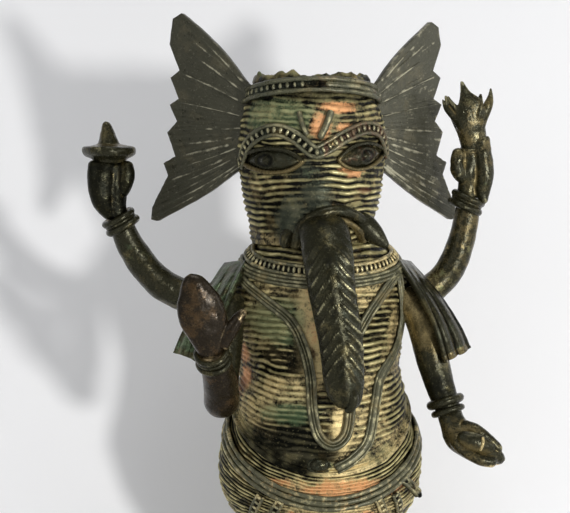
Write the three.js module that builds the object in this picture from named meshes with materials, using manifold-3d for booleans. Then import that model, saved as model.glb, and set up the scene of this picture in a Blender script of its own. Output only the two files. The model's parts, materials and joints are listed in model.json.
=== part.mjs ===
// A standing four-armed, elephant-headed deity, cast in brass by the lost-wax thread method.
// Millimetres, +Z up. The figure faces -Y, so its own right hand is on the -X side.
// The origin is the centre of the underside of the base plate.
import * as THREE from "three";
import { mergeVertices } from "three/addons/utils/BufferGeometryUtils.js";
import Module from "manifold-3d";

const wasm = await Module();
wasm.setup();

// ---- driving dimensions ----
const gap = 0.3; // clearance between two pieces that seat on each other
const wall = 2.4; // thickness of the cast shells
const pegRadius = 2.2; // pegs that hold the arms, ears and trunk to the shells
const pegDepth = 2.0; // how far a peg reaches into its hole, less than the wall

const plateWidth = 76;
const plateDepth = 60;
const plateThickness = 6;
const plateCorner = 12; // corner radius of the plate
const edgeCordRadius = 1.4; // cord laid round the edge of the plate

const footHeight = 6;
const footLength = 27;
const footWidth = 13;
const legSpread = 11.5; // from the middle of the figure to the middle of a leg
const legHeight = 44;
const ankleRadius = 6;
const thighRadius = 8.8;
const kneeShare = 0.86; // of the thigh's radius
const ankleShare = ankleRadius / thighRadius;
const ankletRadius = 1.5;

const hipHeight = 46; // from the flat underside of the hips to the back of the waist
const hipX = 0.5; // the figure leans a little, so each body has its own middle
const hipWidth = 60.8;
const hipDepth = 50;
const torsoHeight = 45; // from the back of the waist to the neck
const torsoX = 0.4;
const torsoWidth = 56.4;
const torsoDepth = 51.2; // twice the depth of the belly
const headHeight = 47;
const headX = -2.2;
const headWidth = 43.8;
const headDepth = 40.4;

const rimDip = 22; // how far the waist line drops under the belly
const rimBack = 8; // the waist line starts to drop in front of this depth
const rimRun = 33;
const rimPower = 1.35;

const girdleHeight = 4.6;
const girdleThickness = 1.5;
const girdleDrop = 3.6; // from the waist line to the top of the girdle
const collarHeight = 4;
const collarThickness = 1.6;
const collarDrop = 2.6; // from the neck to the middle of the collar at the back
const collarDip = 4; // how much lower the collar hangs in front
const collarCordHeight = 2.2;
const collarCordThickness = 1.9;
const cordRadius = 1.1; // necklaces and the sacred thread
const threadRadius = 1.5;

const crownHeight = 5;
const crownThickness = 1;
const capRise = 4.2;
const browThickness = 1.6;
const browHeight = 4;
const markRadius = 0.95;
const hoodRadius = 1.9;
const earThickness = 2.2;
const earSweep = 35; // degrees that the ears slant backwards
const earTipRight = 69; // height of the ears' tips above the neck
const earTipLeft = 66.6;
const scarfThickness = 1.7;
const bangleRadius = 0.9;
const bangleHeight = 1.7; // half the height of a bangle
const wristRadius = 3.5;

// ---- facets ----
const bodySides = 24;
const bodyLevels = 8;
const coreSides = 16;
const coreLevels = 5;
const cordSides = 3; // pieces to each half of a cord's section
const ringSides = 16;
const tubeSides = 6;

// ---- levels ----
const footTop = plateThickness + footHeight;
const hipBottom = footTop + legHeight;
const hipTop = hipBottom + hipHeight;
const neck = hipTop + torsoHeight;
const headBottom = neck + gap;
const headTop = headBottom + headHeight;
const earLevel = headBottom + headHeight * 0.62;
const front = new THREE.Vector3(0, -1, 0);

// ---- solids ----
function solidOf(geometry) {
  const bare = geometry.index ? geometry.toNonIndexed() : geometry.clone();
  bare.deleteAttribute("normal");
  bare.deleteAttribute("uv");
  const merged = mergeVertices(bare, 1e-4);
  return new wasm.Manifold(
    new wasm.Mesh({
      numProp: 3,
      vertProperties: merged.attributes.position.array,
      triVerts: new Uint32Array(merged.index.array),
    }),
  );
}

function geometryOf(solid) {
  const mesh = solid.getMesh();
  const geometry = new THREE.BufferGeometry();
  geometry.setAttribute("position", new THREE.BufferAttribute(mesh.vertProperties, 3));
  geometry.setIndex(new THREE.BufferAttribute(mesh.triVerts, 1));
  geometry.computeVertexNormals();
  return geometry;
}

// The largest body of a solid, so that slivers left by a cut are dropped.
function largest(solid) {
  const bodies = solid.decompose();
  return bodies.reduce((a, b) => (b.volume() > a.volume() ? b : a));
}

function without(solid, ...cutters) {
  return largest(cutters.reduce((left, cutter) => left.subtract(cutter), solid));
}

function mapVertices(geometry, place) {
  const position = geometry.attributes.position;
  const v = new THREE.Vector3();
  for (let i = 0; i < position.count; i++) {
    const p = place(v.fromBufferAttribute(position, i));
    position.setXYZ(i, p.x, p.y, p.z);
  }
  return geometry;
}

// ---- oval bodies ----
// Each station is [z, width, front depth, back depth], the last three as shares of the body's own.
function oval(middle, width, depth, stations) {
  const sizes = stations.map((s) => new THREE.Vector3(s[1] * width, s[2] * depth, s[3] * depth));
  return {
    middle,
    low: stations[0][0],
    high: stations[stations.length - 1][0],
    sizes: new THREE.CatmullRomCurve3(sizes.map((size) => size.divideScalar(2))),
    heights: new THREE.CatmullRomCurve3(stations.map((s) => new THREE.Vector3(0, 0, s[0]))),
  };
}

function sizeAt(body, z) {
  let low = 0;
  let high = 1;
  for (let i = 0; i < 30; i++) {
    const mid = (low + high) / 2;
    if (body.heights.getPoint(mid).z < z) low = mid;
    else high = mid;
  }
  return body.sizes.getPoint((low + high) / 2);
}

// A point on the body at an angle (0 is +X, -90 degrees the front), lifted off its surface.
function around(body, angle, z, lift = 0) {
  const s = sizeAt(body, z);
  const depth = Math.sin(angle) < 0 ? s.y : s.z;
  const point = new THREE.Vector3(s.x * Math.cos(angle), depth * Math.sin(angle), z);
  const normal = new THREE.Vector3(Math.cos(angle) / s.x, Math.sin(angle) / depth, 0).normalize();
  point.addScaledVector(normal, lift);
  point.x += body.middle;
  return point;
}

// The point of the front face that lies at x and z.
function onFront(body, x, z, lift = 0) {
  const s = sizeAt(body, z);
  const share = THREE.MathUtils.clamp((x - body.middle) / s.x, -0.995, 0.995);
  return around(body, -Math.acos(share), z, lift);
}

function ovalSolid(body, grow = 0, low = body.low, high = body.high, fine = true) {
  const sides = fine ? bodySides : coreSides;
  const levels = fine ? bodyLevels : coreLevels;
  const profile = [new THREE.Vector2(0, 0)];
  for (let i = 0; i <= levels; i++) profile.push(new THREE.Vector2(1, i / levels));
  profile.push(new THREE.Vector2(0, 1));
  const lathe = new THREE.LatheGeometry(profile, sides);
  return solidOf(
    mapVertices(lathe, (v) => {
      const z = low + (high - low) * v.y;
      const s = sizeAt(body, THREE.MathUtils.clamp(z, body.low, body.high));
      const depth = (v.z > 0 ? s.y : s.z) + grow;
      return new THREE.Vector3(body.middle + v.x * (s.x + grow), -v.z * depth, z);
    }),
  );
}

// A closed band round a body: its height above each angle comes from the function level.
function band(body, level, thickness, height, lift = gap) {
  const torus = new THREE.TorusGeometry(2, 1, tubeSides, bodySides);
  return solidOf(
    mapVertices(torus, (v) => {
      const angle = Math.atan2(v.y, v.x);
      const out = Math.hypot(v.x, v.y) - 2;
      const z = level(angle);
      const p = around(body, angle, z, lift + (thickness / 2) * (1 + out));
      return new THREE.Vector3(p.x, p.y, z + (height / 2) * v.z);
    }),
  );
}

// A limb along a curve: each size is [front-to-back radius, sideways radius].
function limb(points, sizes, sides = 10, steps = 8, facing = front) {
  const curve = new THREE.CatmullRomCurve3(points.map((p) => new THREE.Vector3(...p)));
  const radii = new THREE.CatmullRomCurve3(
    sizes.map((s) => new THREE.Vector3(...(Array.isArray(s) ? s : [s, s]), 0)),
  );
  const profile = [new THREE.Vector2(0, 0)];
  for (let i = 0; i <= steps; i++) profile.push(new THREE.Vector2(1, i / steps));
  profile.push(new THREE.Vector2(0, 1));
  return solidOf(
    mapVertices(new THREE.LatheGeometry(profile, sides), (v) => {
      const t = THREE.MathUtils.clamp(v.y, 0, 1);
      const along = curve.getTangent(t);
      const ahead = facing.clone().addScaledVector(along, -facing.dot(along)).normalize();
      const side = new THREE.Vector3().crossVectors(along, ahead);
      const r = radii.getPoint(t);
      return curve.getPoint(t).addScaledVector(ahead, v.z * r.x).addScaledVector(side, v.x * r.y);
    }),
  );
}

function ball(centre, radii, sides = 8) {
  const sphere = new THREE.SphereGeometry(1, sides, 6).scale(...radii);
  return solidOf(sphere.translate(...centre));
}

// A flat ring seen along the direction that it faces.
function ring(centre, direction, radius, tube, height = tube) {
  const torus = new THREE.TorusGeometry(radius, 1, tubeSides, ringSides);
  mapVertices(torus, (v) => {
    const angle = Math.atan2(v.y, v.x);
    const out = Math.hypot(v.x, v.y) - radius;
    const r = radius + out * tube;
    return new THREE.Vector3(r * Math.cos(angle), r * Math.sin(angle), v.z * height);
  });
  const turn = new THREE.Quaternion().setFromUnitVectors(
    new THREE.Vector3(0, 0, 1),
    new THREE.Vector3(...direction).normalize(),
  );
  return solidOf(torus.applyQuaternion(turn).translate(...centre));
}

// A curved sheet: pointAt gives its middle face for u and v from 0 to 1.
function sheet(pointAt, thickness, across = 3, along = 5) {
  const box = new THREE.BoxGeometry(1, 1, 1, across, along, 1);
  const step = 0.01;
  return solidOf(
    mapVertices(box, (v) => {
      const u = v.x + 0.5;
      const w = v.y + 0.5;
      const p = pointAt(u, w);
      const du = pointAt(u + step, w).sub(pointAt(u - step, w));
      const dw = pointAt(u, w + step).sub(pointAt(u, w - step));
      return p.addScaledVector(du.cross(dw).normalize(), v.z * thickness);
    }),
  );
}

function outline(points, depth) {
  const shape = new THREE.Shape(points.map((p) => new THREE.Vector2(...p)));
  return new THREE.ExtrudeGeometry(shape, { depth, bevelEnabled: false });
}

// A round cord through points, which stays a list of places that it passes.
function cord(points, radius, perPoint = 2) {
  const path = new THREE.CatmullRomCurve3(points);
  const section = new THREE.Shape().absarc(0, 0, radius, 0, Math.PI * 2);
  const steps = points.length * perPoint;
  const tube = new THREE.ExtrudeGeometry(section, {
    steps,
    extrudePath: path,
    curveSegments: cordSides,
    bevelEnabled: false,
  });
  return solidOf(tube);
}

// A peg from a place on a shell's surface, into the wall and out into the piece that it holds.
function peg(root, direction, outside, grow = 0) {
  const d = new THREE.Vector3(...direction).normalize();
  const inner = new THREE.Vector3(...root).addScaledVector(d, -pegDepth - grow * 4);
  const outer = new THREE.Vector3(...root).addScaledVector(d, outside);
  const radius = pegRadius + grow;
  return limb([inner.toArray(), outer.toArray()], [radius, radius], 8, 1, sideways(d));
}

// Where a limb meets a body: the place on its surface, and the way straight out of it.
function rootOn(body, degrees, z) {
  const angle = THREE.MathUtils.degToRad(degrees);
  const at = around(body, angle, z);
  return { at: at.toArray(), toward: around(body, angle, z, 1).sub(at).toArray() };
}

// Any direction that isn't along d.
function sideways(d) {
  return Math.abs(d.y) > 0.9 ? new THREE.Vector3(0, 0, 1) : front;
}

// ---- materials ----
function metal(colour, roughness = 0.5, metalness = 0.85) {
  return new THREE.MeshStandardMaterial({ color: colour, roughness, metalness });
}
const darkBronze = metal(0x3b382c);
const wornBrass = metal(0x8f8256);
const earBronze = metal(0x33332b, 0.45);
const handBronze = metal(0x4a3d2b, 0.4);
const cordBronze = metal(0x5d5a45);
const clay = metal(0xb08a5c, 0.95, 0);

const figure = new THREE.Group();
const add = (name, solid, material) => {
  const mesh = new THREE.Mesh(geometryOf(solid), material);
  mesh.name = name;
  figure.add(mesh);
};

// ---- the three bodies ----
const hips = oval(hipX, hipWidth, hipDepth, [
  [hipBottom, 0.641, 0.56, 0.56],
  [hipBottom + hipHeight * 0.1, 0.74, 0.78, 0.74],
  [hipBottom + hipHeight * 0.27, 0.908, 0.976, 0.92],
  [hipBottom + hipHeight * 0.42, 0.987, 1, 1],
  [hipBottom + hipHeight * 0.58, 1, 0.968, 0.98],
  [hipBottom + hipHeight * 0.74, 0.941, 0.932, 0.88],
  [hipBottom + hipHeight * 0.88, 0.855, 0.904, 0.744],
  [hipTop + 1, 0.789, 0.88, 0.64],
]);
const torso = oval(torsoX, torsoWidth, torsoDepth, [
  [hipTop - rimDip - 4, 0.993, 0.961, 0.703],
  [hipTop - 15, 1, 1, 0.703],
  [hipTop - 5, 0.957, 0.945, 0.656],
  [hipTop + 6, 0.858, 0.812, 0.594],
  [hipTop + 15, 0.872, 0.734, 0.578],
  [hipTop + 26, 0.922, 0.695, 0.602],
  [hipTop + 35, 0.901, 0.664, 0.609],
  [neck - 5, 0.83, 0.641, 0.594],
  [neck - 2, 0.73, 0.609, 0.562],
  [neck, 0.638, 0.578, 0.531],
]);
const head = oval(headX, headWidth, headDepth, [
  [headBottom, 0.831, 0.802, 0.772],
  [headBottom + headHeight * 0.12, 0.858, 0.851, 0.822],
  [headBottom + headHeight * 0.32, 0.945, 0.941, 0.921],
  [headBottom + headHeight * 0.5, 0.995, 1, 0.99],
  [headBottom + headHeight * 0.66, 1, 1, 0.99],
  [headBottom + headHeight * 0.8, 0.959, 0.97, 0.96],
  [headBottom + headHeight * 0.9, 0.886, 0.911, 0.901],
  [headTop, 0.822, 0.842, 0.842],
]);

// The waist line: where the torso's rim meets the hips, lower towards the front.
function waist(y) {
  return hipTop - rimDip * Math.pow(Math.max(0, rimBack - y) / rimRun, rimPower);
}

// Everything under the waist line, moved up or down.
function underWaist(offset) {
  const reach = 60;
  const points = [[-reach, -reach]];
  for (let y = -40; y <= rimBack; y += 6) points.push([y, waist(y) + offset]);
  points.push([reach, hipTop + offset], [reach, -reach]);
  const block = outline(points, reach * 2).translate(0, 0, -reach);
  return solidOf(block.rotateY(Math.PI / 2).rotateX(Math.PI / 2));
}

// The height at which a line that follows the waist, this far below it, crosses an angle of a body.
function followWaist(body, angle, below) {
  let z = hipTop - below;
  for (let i = 0; i < 12; i++) z = waist(around(body, angle, z).y) - below;
  return z;
}

// ---- base plate and its edge cord ----
function plateShape(grow = 0) {
  const w = plateWidth / 2 + grow;
  const d = plateDepth / 2 + grow;
  const r = plateCorner + grow;
  const shape = new THREE.Shape();
  shape.moveTo(-w + r, -d);
  shape.lineTo(w - r, -d).absarc(w - r, -d + r, r, -Math.PI / 2, 0);
  shape.lineTo(w, d - r).absarc(w - r, d - r, r, 0, Math.PI / 2);
  shape.lineTo(-w + r, d).absarc(-w + r, d - r, r, Math.PI / 2, Math.PI);
  shape.lineTo(-w, -d + r).absarc(-w + r, -d + r, r, Math.PI, Math.PI * 1.5);
  return shape;
}

function edgeCord(z) {
  const count = 40;
  const places = plateShape(2 * gap + edgeCordRadius).getSpacedPoints(count);
  const torus = new THREE.TorusGeometry(2, 1, tubeSides, count);
  return solidOf(
    mapVertices(torus, (v) => {
      const turn = (Math.atan2(v.y, v.x) / (Math.PI * 2) + 1) % 1;
      const i = Math.round(turn * count) % count;
      const before = places[(i + count - 1) % count];
      const after = places[(i + 1) % count];
      const out = new THREE.Vector2(after.y - before.y, before.x - after.x).normalize();
      const lift = (Math.hypot(v.x, v.y) - 2) * edgeCordRadius;
      const p = places[i].clone().addScaledVector(out, lift);
      return new THREE.Vector3(p.x, p.y, z + v.z * edgeCordRadius);
    }),
  );
}

const plate = new THREE.ExtrudeGeometry(plateShape(), {
  depth: plateThickness,
  bevelEnabled: false,
  curveSegments: 4,
});
add("base_plate", solidOf(plate), wornBrass);
add("base_edge_cord", edgeCord(plateThickness / 2), cordBronze);

// ---- feet, legs and anklets ----
function foot(x) {
  const half = footWidth / 2;
  const heel = footLength * 0.3;
  const toes = footLength * 0.7;
  const shape = new THREE.Shape();
  shape.moveTo(-half * 0.8, heel - half * 0.8);
  shape.quadraticCurveTo(0, heel + half * 0.6, half * 0.8, heel - half * 0.8);
  shape.quadraticCurveTo(half * 0.75, -toes * 0.3, half, -toes * 0.8);
  shape.quadraticCurveTo(half * 0.6, -toes * 1.05, 0, -toes);
  shape.quadraticCurveTo(-half * 0.6, -toes * 1.05, -half, -toes * 0.8);
  shape.quadraticCurveTo(-half * 0.75, -toes * 0.3, -half * 0.8, heel - half * 0.8);
  const slab = new THREE.ExtrudeGeometry(shape, {
    depth: footHeight,
    bevelEnabled: false,
    curveSegments: 4,
  });
  return solidOf(slab.translate(x, 0, plateThickness));
}

// A leg keeps level sections, so that both of its ends are flat.
function leg(x) {
  const column = oval(x, 2 * thighRadius, 2 * thighRadius, [
    [footTop, ankleShare, ankleShare, ankleShare],
    [footTop + legHeight * 0.3, ankleShare + 0.09, ankleShare + 0.09, ankleShare + 0.09],
    [footTop + legHeight * 0.62, kneeShare, kneeShare + 0.14, kneeShare],
    [hipBottom - gap, 1, 1, 1],
  ]);
  return ovalSolid(column, 0, column.low, column.high, false).add(legPeg(x, 0));
}

function legPeg(x, grow) {
  return peg([x, 0, hipBottom], [0, 0, -1], 3, grow);
}

for (const [side, name] of [[-1, "right"], [1, "left"]]) {
  const x = hipX + side * legSpread;
  const ankle = [x, 0, footTop + ankletRadius + 1.5];
  const ankletMiddle = ankleRadius + 2 * gap + ankletRadius;
  add(`${name}_foot`, foot(x), darkBronze);
  add(`${name}_leg`, leg(x), darkBronze);
  add(`${name}_anklet`, ring(ankle, [0, 0, 1], ankletMiddle, ankletRadius), cordBronze);
}

// ---- hips: a shell and its core ----
const legSockets = [-1, 1].map((side) => legPeg(hipX + side * legSpread, gap));
const hipOuter = ovalSolid(hips).intersect(underWaist(-gap));
const hipHollow = ovalSolid(hips, -wall, hipBottom + wall, hips.high, false);
add("hip_shell", without(hipOuter, hipHollow, ...legSockets), wornBrass);
const hipFill = ovalSolid(hips, -wall - gap, hipBottom + wall + gap, hips.high - 1, false);
add("hip_core", hipFill.intersect(underWaist(-gap)), clay);
const hipRoom = ovalSolid(hips, gap).intersect(underWaist(0));

// ---- torso: a shell and its core ----
const rearRoots = {
  right: rootOn(torso, 166, neck - 17),
  left: rootOn(torso, 14, neck - 17),
};
const frontRoots = {
  right: rootOn(torso, -161, neck - 15),
  left: rootOn(torso, -19, neck - 15),
};
const armSockets = [...Object.values(rearRoots), ...Object.values(frontRoots)].map((root) =>
  peg(root.at, root.toward, 3, gap),
);
const torsoHollow = ovalSolid(torso, -wall, torso.low - 1, torso.high + 1, false);
add("torso_shell", without(ovalSolid(torso), torsoHollow, underWaist(0), ...armSockets), wornBrass);
const torsoFill = ovalSolid(torso, -wall - gap, torso.low, neck, false);
add("torso_core", without(torsoFill, underWaist(0)), clay);
const torsoRoom = ovalSolid(torso, gap);

// ---- girdle, its knot, and the borders and rosettes of the apron ----
function girdleLevel(angle) {
  const frontShare = Math.max(0, -Math.sin(angle));
  return followWaist(hips, angle, girdleDrop + girdleHeight / 2 + 1.6 * frontShare);
}
function girdle(grow) {
  return band(hips, girdleLevel, girdleThickness + 2 * grow, girdleHeight + 2 * grow, 2.5 * gap - grow);
}
const girdleRoom = girdle(gap);
add("waist_girdle", without(girdle(0), hipRoom), cordBronze);

const knotAngle = THREE.MathUtils.degToRad(-36);
const knotLevel = girdleLevel(knotAngle) - girdleHeight / 2 - 4.2;
const knotAt = around(hips, knotAngle, knotLevel, gap + 1.6);
const knotOut = around(hips, knotAngle, knotLevel, 1).sub(around(hips, knotAngle, knotLevel));
function knot(grow) {
  const ends = [
    [knotAt.x - 2.6, knotAt.y - 0.6, knotAt.z + 2],
    [knotAt.x + 2, knotAt.y + 0.6, knotAt.z - 2.2],
  ];
  const sizes = [
    [1.5 + grow, 1.5 + grow],
    [1.6 + grow, 1.9 + grow],
  ];
  return limb(ends, sizes, 8, 2, knotOut.clone().normalize());
}
const knotRoom = knot(gap);
add("girdle_knot", without(knot(0), hipRoom, girdleRoom), cordBronze);

const apronRadius = 1.25;
const apronTop = 0.64; // of the hips' half width
function apronBorder(side) {
  const start = girdleLevel(-Math.acos(apronTop)) - girdleHeight / 2 - apronRadius - gap;
  const end = hipBottom + 2.6;
  // Each place is [x as a share of the hips' half width, share of the way down].
  const places = [
    [apronTop, 0],
    [0.7, 0.3],
    [0.7, 0.65],
    [0.61, 1],
  ];
  const middle = places.map(([out, down]) => {
    const x = hipX + side * out * hipWidth / 2;
    return onFront(hips, x, start + (end - start) * down, apronRadius + gap);
  });
  return without(cord(middle, apronRadius), hipRoom, girdleRoom, knotRoom);
}
function rosette(side) {
  const at = onFront(hips, hipX + side * hipWidth * 0.18, hipBottom + hipHeight * 0.25, 0);
  return without(ball(at.toArray(), [2.6, 1.8, 2.2]), hipRoom, girdleRoom);
}
for (const [side, name] of [[-1, "right"], [1, "left"]]) {
  add(`${name}_apron_border`, apronBorder(side), cordBronze);
  add(`${name}_rosette`, rosette(side), wornBrass);
}

// ---- navel and the cords of the chest ----
const navelAt = onFront(torso, torsoX - 3, hipTop - 18.2, 0);
add("navel_boss", without(ball(navelAt.toArray(), [2.9, 1.9, 2.1]), torsoRoom), darkBronze);

// Each place is [x from the torso's middle, depth below the neck].
function chestCord(places, radius, grow = 0) {
  const middle = places.map(([x, below]) => onFront(torso, torsoX + x, neck - below, radius + gap));
  return cord(middle, radius + grow);
}
const necklacePlaces = [
  [-21.8, 12.4],
  [-17, 16.4],
  [-10.5, 22],
  [-7, 29.5],
  [-5.2, 38],
  [-5, 47],
  [-3.4, 54.5],
  [0.6, 57.4],
  [4.6, 54.5],
  [6, 47],
  [5.8, 38],
  [7.4, 29.5],
  [11.5, 21.5],
  [16.2, 14.5],
];
const threadPlaces = [
  [20.6, 12],
  [21.6, 18],
  [21.6, 24],
  [19.8, 31.5],
  [15.8, 39],
  [13.8, 46],
  [11.2, 56.5],
  [6.5, 61.6],
  [1.5, 64.4],
];
add("long_necklace", chestCord(necklacePlaces, cordRadius), cordBronze);
add("sacred_thread", chestCord(threadPlaces, threadRadius), cordBronze);

// ---- collar: a laddered band at the neck with a cord under it ----
const collarLevel = (drop) => (angle) => neck - drop - collarDip * Math.max(0, -Math.sin(angle));
const collarCordDrop = collarDrop + collarHeight / 2 + gap + collarCordHeight / 2;
const collarCord = band(torso, collarLevel(collarCordDrop), collarCordThickness, collarCordHeight);
add("collar_band", band(torso, collarLevel(collarDrop), collarThickness, collarHeight), cordBronze);
add("collar_cord", collarCord, cordBronze);

// ---- head: a shell, its core and the cap ----
const trunkRoot = rootOn(head, -86, neck + 4.4);
const earRoots = { right: rootOn(head, 176, earLevel), left: rootOn(head, 4, earLevel) };
const backwards = THREE.MathUtils.degToRad(earSweep);
for (const [side, name] of [[-1, "right"], [1, "left"]]) {
  earRoots[name].toward = [side * Math.cos(backwards), Math.sin(backwards), 0];
}
const headSockets = [trunkRoot, earRoots.right, earRoots.left].map((root) =>
  peg(root.at, root.toward, 3, gap),
);
const headHollow = ovalSolid(head, -wall, headBottom - 1, headTop - wall, false);
add("head_shell", without(ovalSolid(head), headHollow, ...headSockets), wornBrass);
add("head_core", ovalSolid(head, -wall - gap, headBottom, headTop - wall - gap, false), clay);
const headRoom = ovalSolid(head, gap, headBottom - gap, headTop + gap);

function crownCap() {
  const top = oval(headX, headWidth, headDepth, [
    [headTop + gap, 0.785, 0.8, 0.8],
    [headTop + gap + capRise * 0.6, 0.75, 0.765, 0.765],
    [headTop + gap + capRise, 0.65, 0.665, 0.665],
  ]);
  const knobs = [-118, -62, 20, 100, 170].map((degrees, i) => {
    const at = around(top, THREE.MathUtils.degToRad(degrees), headTop + capRise * 0.65, -1.8);
    return ball(at.toArray(), [2.1, 2.1, i % 2 ? 2.4 : 1.8], 6);
  });
  return knobs.reduce((all, knob) => all.add(knob), ovalSolid(top, 0, top.low, top.high, false));
}
const crownLevel = (angle) => headTop - 1.2 + 3.6 * Math.max(0, -Math.sin(angle)) - crownHeight / 2;
add("crown_cap", crownCap(), darkBronze);
add("crown_band", band(head, crownLevel, crownThickness, crownHeight, 2 * gap), cordBronze);

// ---- face ----
function browSheet(thickness, height) {
  // Each place is [x from the head's middle, height above the neck].
  const places = [
    [-21.2, 23.5],
    [-19.2, 30.5],
    [-14.2, 33.2],
    [-8.2, 31.2],
    [-0.4, 27.6],
    [7.4, 31.6],
    [13.6, 34.4],
    [19, 32],
    [21.2, 26],
  ];
  const line = new THREE.CatmullRomCurve3(places.map(([x, z]) => new THREE.Vector3(x, 0, z)));
  const pointAt = (u, v) => {
    const t = THREE.MathUtils.clamp(u, 0, 1);
    const p = line.getPoint(t).addScaledVector(line.getTangent(t), (u - t) * 60);
    const z = neck + p.z + (v - 0.5) * height;
    return onFront(head, headX + p.x, z, 1.5 * gap + thickness / 2);
  };
  return sheet(pointAt, thickness, 18, 1);
}
const browRoom = browSheet(browThickness + 2 * gap, browHeight + 2 * gap);
add("brow_band", browSheet(browThickness, browHeight), cordBronze);

function eye(side, rise) {
  const at = onFront(head, headX + side * 12.9 - 0.4, neck + 25.6 + rise, -0.6);
  const turn = (side * Math.PI) / 5.2;
  const almond = new THREE.SphereGeometry(1, 10, 6).scale(7.4, 2.4, 3).rotateZ(turn);
  return without(solidOf(almond.translate(at.x, at.y, at.z)), headRoom, browRoom);
}
add("right_eye", eye(-1, 0), darkBronze);
add("left_eye", eye(1, 1.4), darkBronze);

const markPlaces = [
  [-4.4, 41],
  [-3.4, 37],
  [-0.8, 33.6],
  [1.4, 37],
  [2.6, 40.6],
].map(([x, z]) => onFront(head, headX + x, neck + z, markRadius + gap));
add("tilaka_mark", cord(markPlaces, markRadius), wornBrass);

// ---- trunk, its hood and the tusks ----
const trunkX = trunkRoot.at[0];
const trunkPath = [
  [trunkX, trunkRoot.at[1] + 2.4, neck + 4.6],
  [trunkX + 0.1, -22.4, neck + 3],
  [trunkX + 0.5, -26.6, neck - 2.6],
  [trunkX + 1.3, -28.4, neck - 12],
  [trunkX + 3.4, -29.2, neck - 27],
  [trunkX + 3.4, -30, neck - 38],
  [trunkX + 1.8, -31, neck - 44.5],
];
const trunkSizes = [
  [4.6, 7.4],
  [4.8, 7.4],
  [5, 7.4],
  [4.8, 6.9],
  [4.4, 6.4],
  [3.6, 5.4],
  [2.8, 5],
];
const trunkFacing = new THREE.Vector3(0, -1, 0.35).normalize();
function trunkSolid(grow) {
  const sizes = trunkSizes.map(([a, b]) => [a + grow, b + grow]);
  return limb(trunkPath, sizes, 12, 12, trunkFacing);
}
const collarRoomDepth = 3; // room kept in front of the collar and its cord
const collarRoom = band(torso, collarLevel(collarDrop), collarRoomDepth, collarHeight + 2 * gap, 0);
const cordRoom = band(torso, collarLevel(collarCordDrop), collarRoomDepth, collarCordHeight + 2 * gap, 0);
const neckRoom = collarRoom.add(cordRoom);
const trunkBody = without(trunkSolid(0), headRoom, torsoRoom, neckRoom);
add("trunk", trunkBody.add(peg(trunkRoot.at, trunkRoot.toward, 4)), darkBronze);
const trunkRoom = trunkSolid(gap);

function hood(radius) {
  const arch = [
    [-11.6, 2.6],
    [-9.2, 7],
    [-3.8, 10.3],
    [2.4, 11.2],
    [8.4, 9.8],
    [12.6, 6.2],
    [14.4, 2.4],
  ].map(([x, z]) => onFront(head, headX + x, neck + z, hoodRadius + gap));
  return cord(arch, radius);
}
add("trunk_hood", without(hood(hoodRadius), trunkRoom), darkBronze);
const faceRoom = [headRoom, torsoRoom, trunkRoom, hood(hoodRadius + gap), neckRoom];

function tusk(side, length) {
  const root = onFront(head, headX + 1.6 + side * 11, neck + 3.2, -1);
  return limb(
    [
      root.toArray(),
      [root.x + side * 2, root.y - 2.6, root.z - length * 0.25],
      [root.x + side * 4.6, root.y - 4.8, root.z - length * 0.6],
    ],
    [2.6, 2.4, 0.8],
    8,
    4,
  );
}
add("left_tusk", without(tusk(1, 8), ...faceRoom), earBronze);
add("right_tusk", without(tusk(-1, 5), ...faceRoom), earBronze);

// ---- ears: toothed fans, each with a peg into the head ----
function earPlate(side, tip) {
  // Each place is [out from the head, height above the neck], the teeth between two notches.
  const edge = [
    [-5, 44.5],
    [1, 46.4],
    [8, 53.8],
    [13.6, 61.4],
    [19.6, tip],
    [22.4, tip - 1.6],
    [23.4, 59.8],
    [20.2, 51.8],
    [23.2, 49.6],
    [20.5, 43.2],
    [23.6, 41.4],
    [21.2, 36.4],
    [24.4, 33],
    [21.7, 25.8],
    [25.7, 23.6],
    [24.2, 20],
    [29.6, 10],
    [30, 6.4],
    [28, 6],
    [23, 9.6],
    [9, 17.6],
    [-5, 25.4],
  ].map(([out, z]) => [side * out * 1.06, neck + z]);
  const fan = outline(edge, earThickness);
  fan.translate(0, 0, -earThickness / 2).rotateX(Math.PI / 2).rotateZ(side * backwards);
  return solidOf(fan.translate(headX + side * 20.8, 0.6, 0));
}
const crownRoom = band(head, crownLevel, crownThickness + 2 * gap, crownHeight + 2 * gap, gap);
for (const [side, name] of [[-1, "right"], [1, "left"]]) {
  const tip = name === "right" ? earTipRight : earTipLeft;
  const fan = without(earPlate(side, tip), headRoom, browRoom, crownRoom);
  add(`${name}_ear`, fan.add(peg(earRoots[name].at, earRoots[name].toward, 3)), earBronze);
}

// ---- scarf: a yoke across the back and a tail over each shoulder ----
function scarfTail(side, thickness) {
  const neckSide = new THREE.Vector3(side * 22.5, -5.5, neck - 5);
  const armSide = new THREE.Vector3(side * 28, 5, neck - 6.6);
  const hemInner = new THREE.Vector3(side * 35.4, -15, neck - 35);
  const hemOuter = new THREE.Vector3(side * 44.4, -7.5, neck - 31.6);
  const pointAt = (u, v) => {
    const top = neckSide.clone().lerp(armSide, u);
    const hem = hemInner.clone().lerp(hemOuter, u);
    const bulge = Math.sin(Math.PI * THREE.MathUtils.clamp(v, 0, 1));
    const p = top.lerp(hem, v);
    return new THREE.Vector3(p.x + torsoX + side * 1.6 * bulge, p.y - 4.6 * bulge, p.z);
  };
  return sheet(pointAt, thickness);
}
function scarfYoke(thickness) {
  const pointAt = (u, v) => {
    const angle = THREE.MathUtils.degToRad(26 + 128 * u);
    const z = neck - 8.8 - 7 * v - 4 * Math.sin(angle);
    return around(torso, angle, z, 2 * gap + scarfThickness / 2);
  };
  return sheet(pointAt, thickness, 10, 2);
}
const scarfRoom = scarfThickness + 2 * gap;
const tailRooms = { right: scarfTail(-1, scarfRoom), left: scarfTail(1, scarfRoom) };
const threadRoom = chestCord(threadPlaces, threadRadius, gap);
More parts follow.
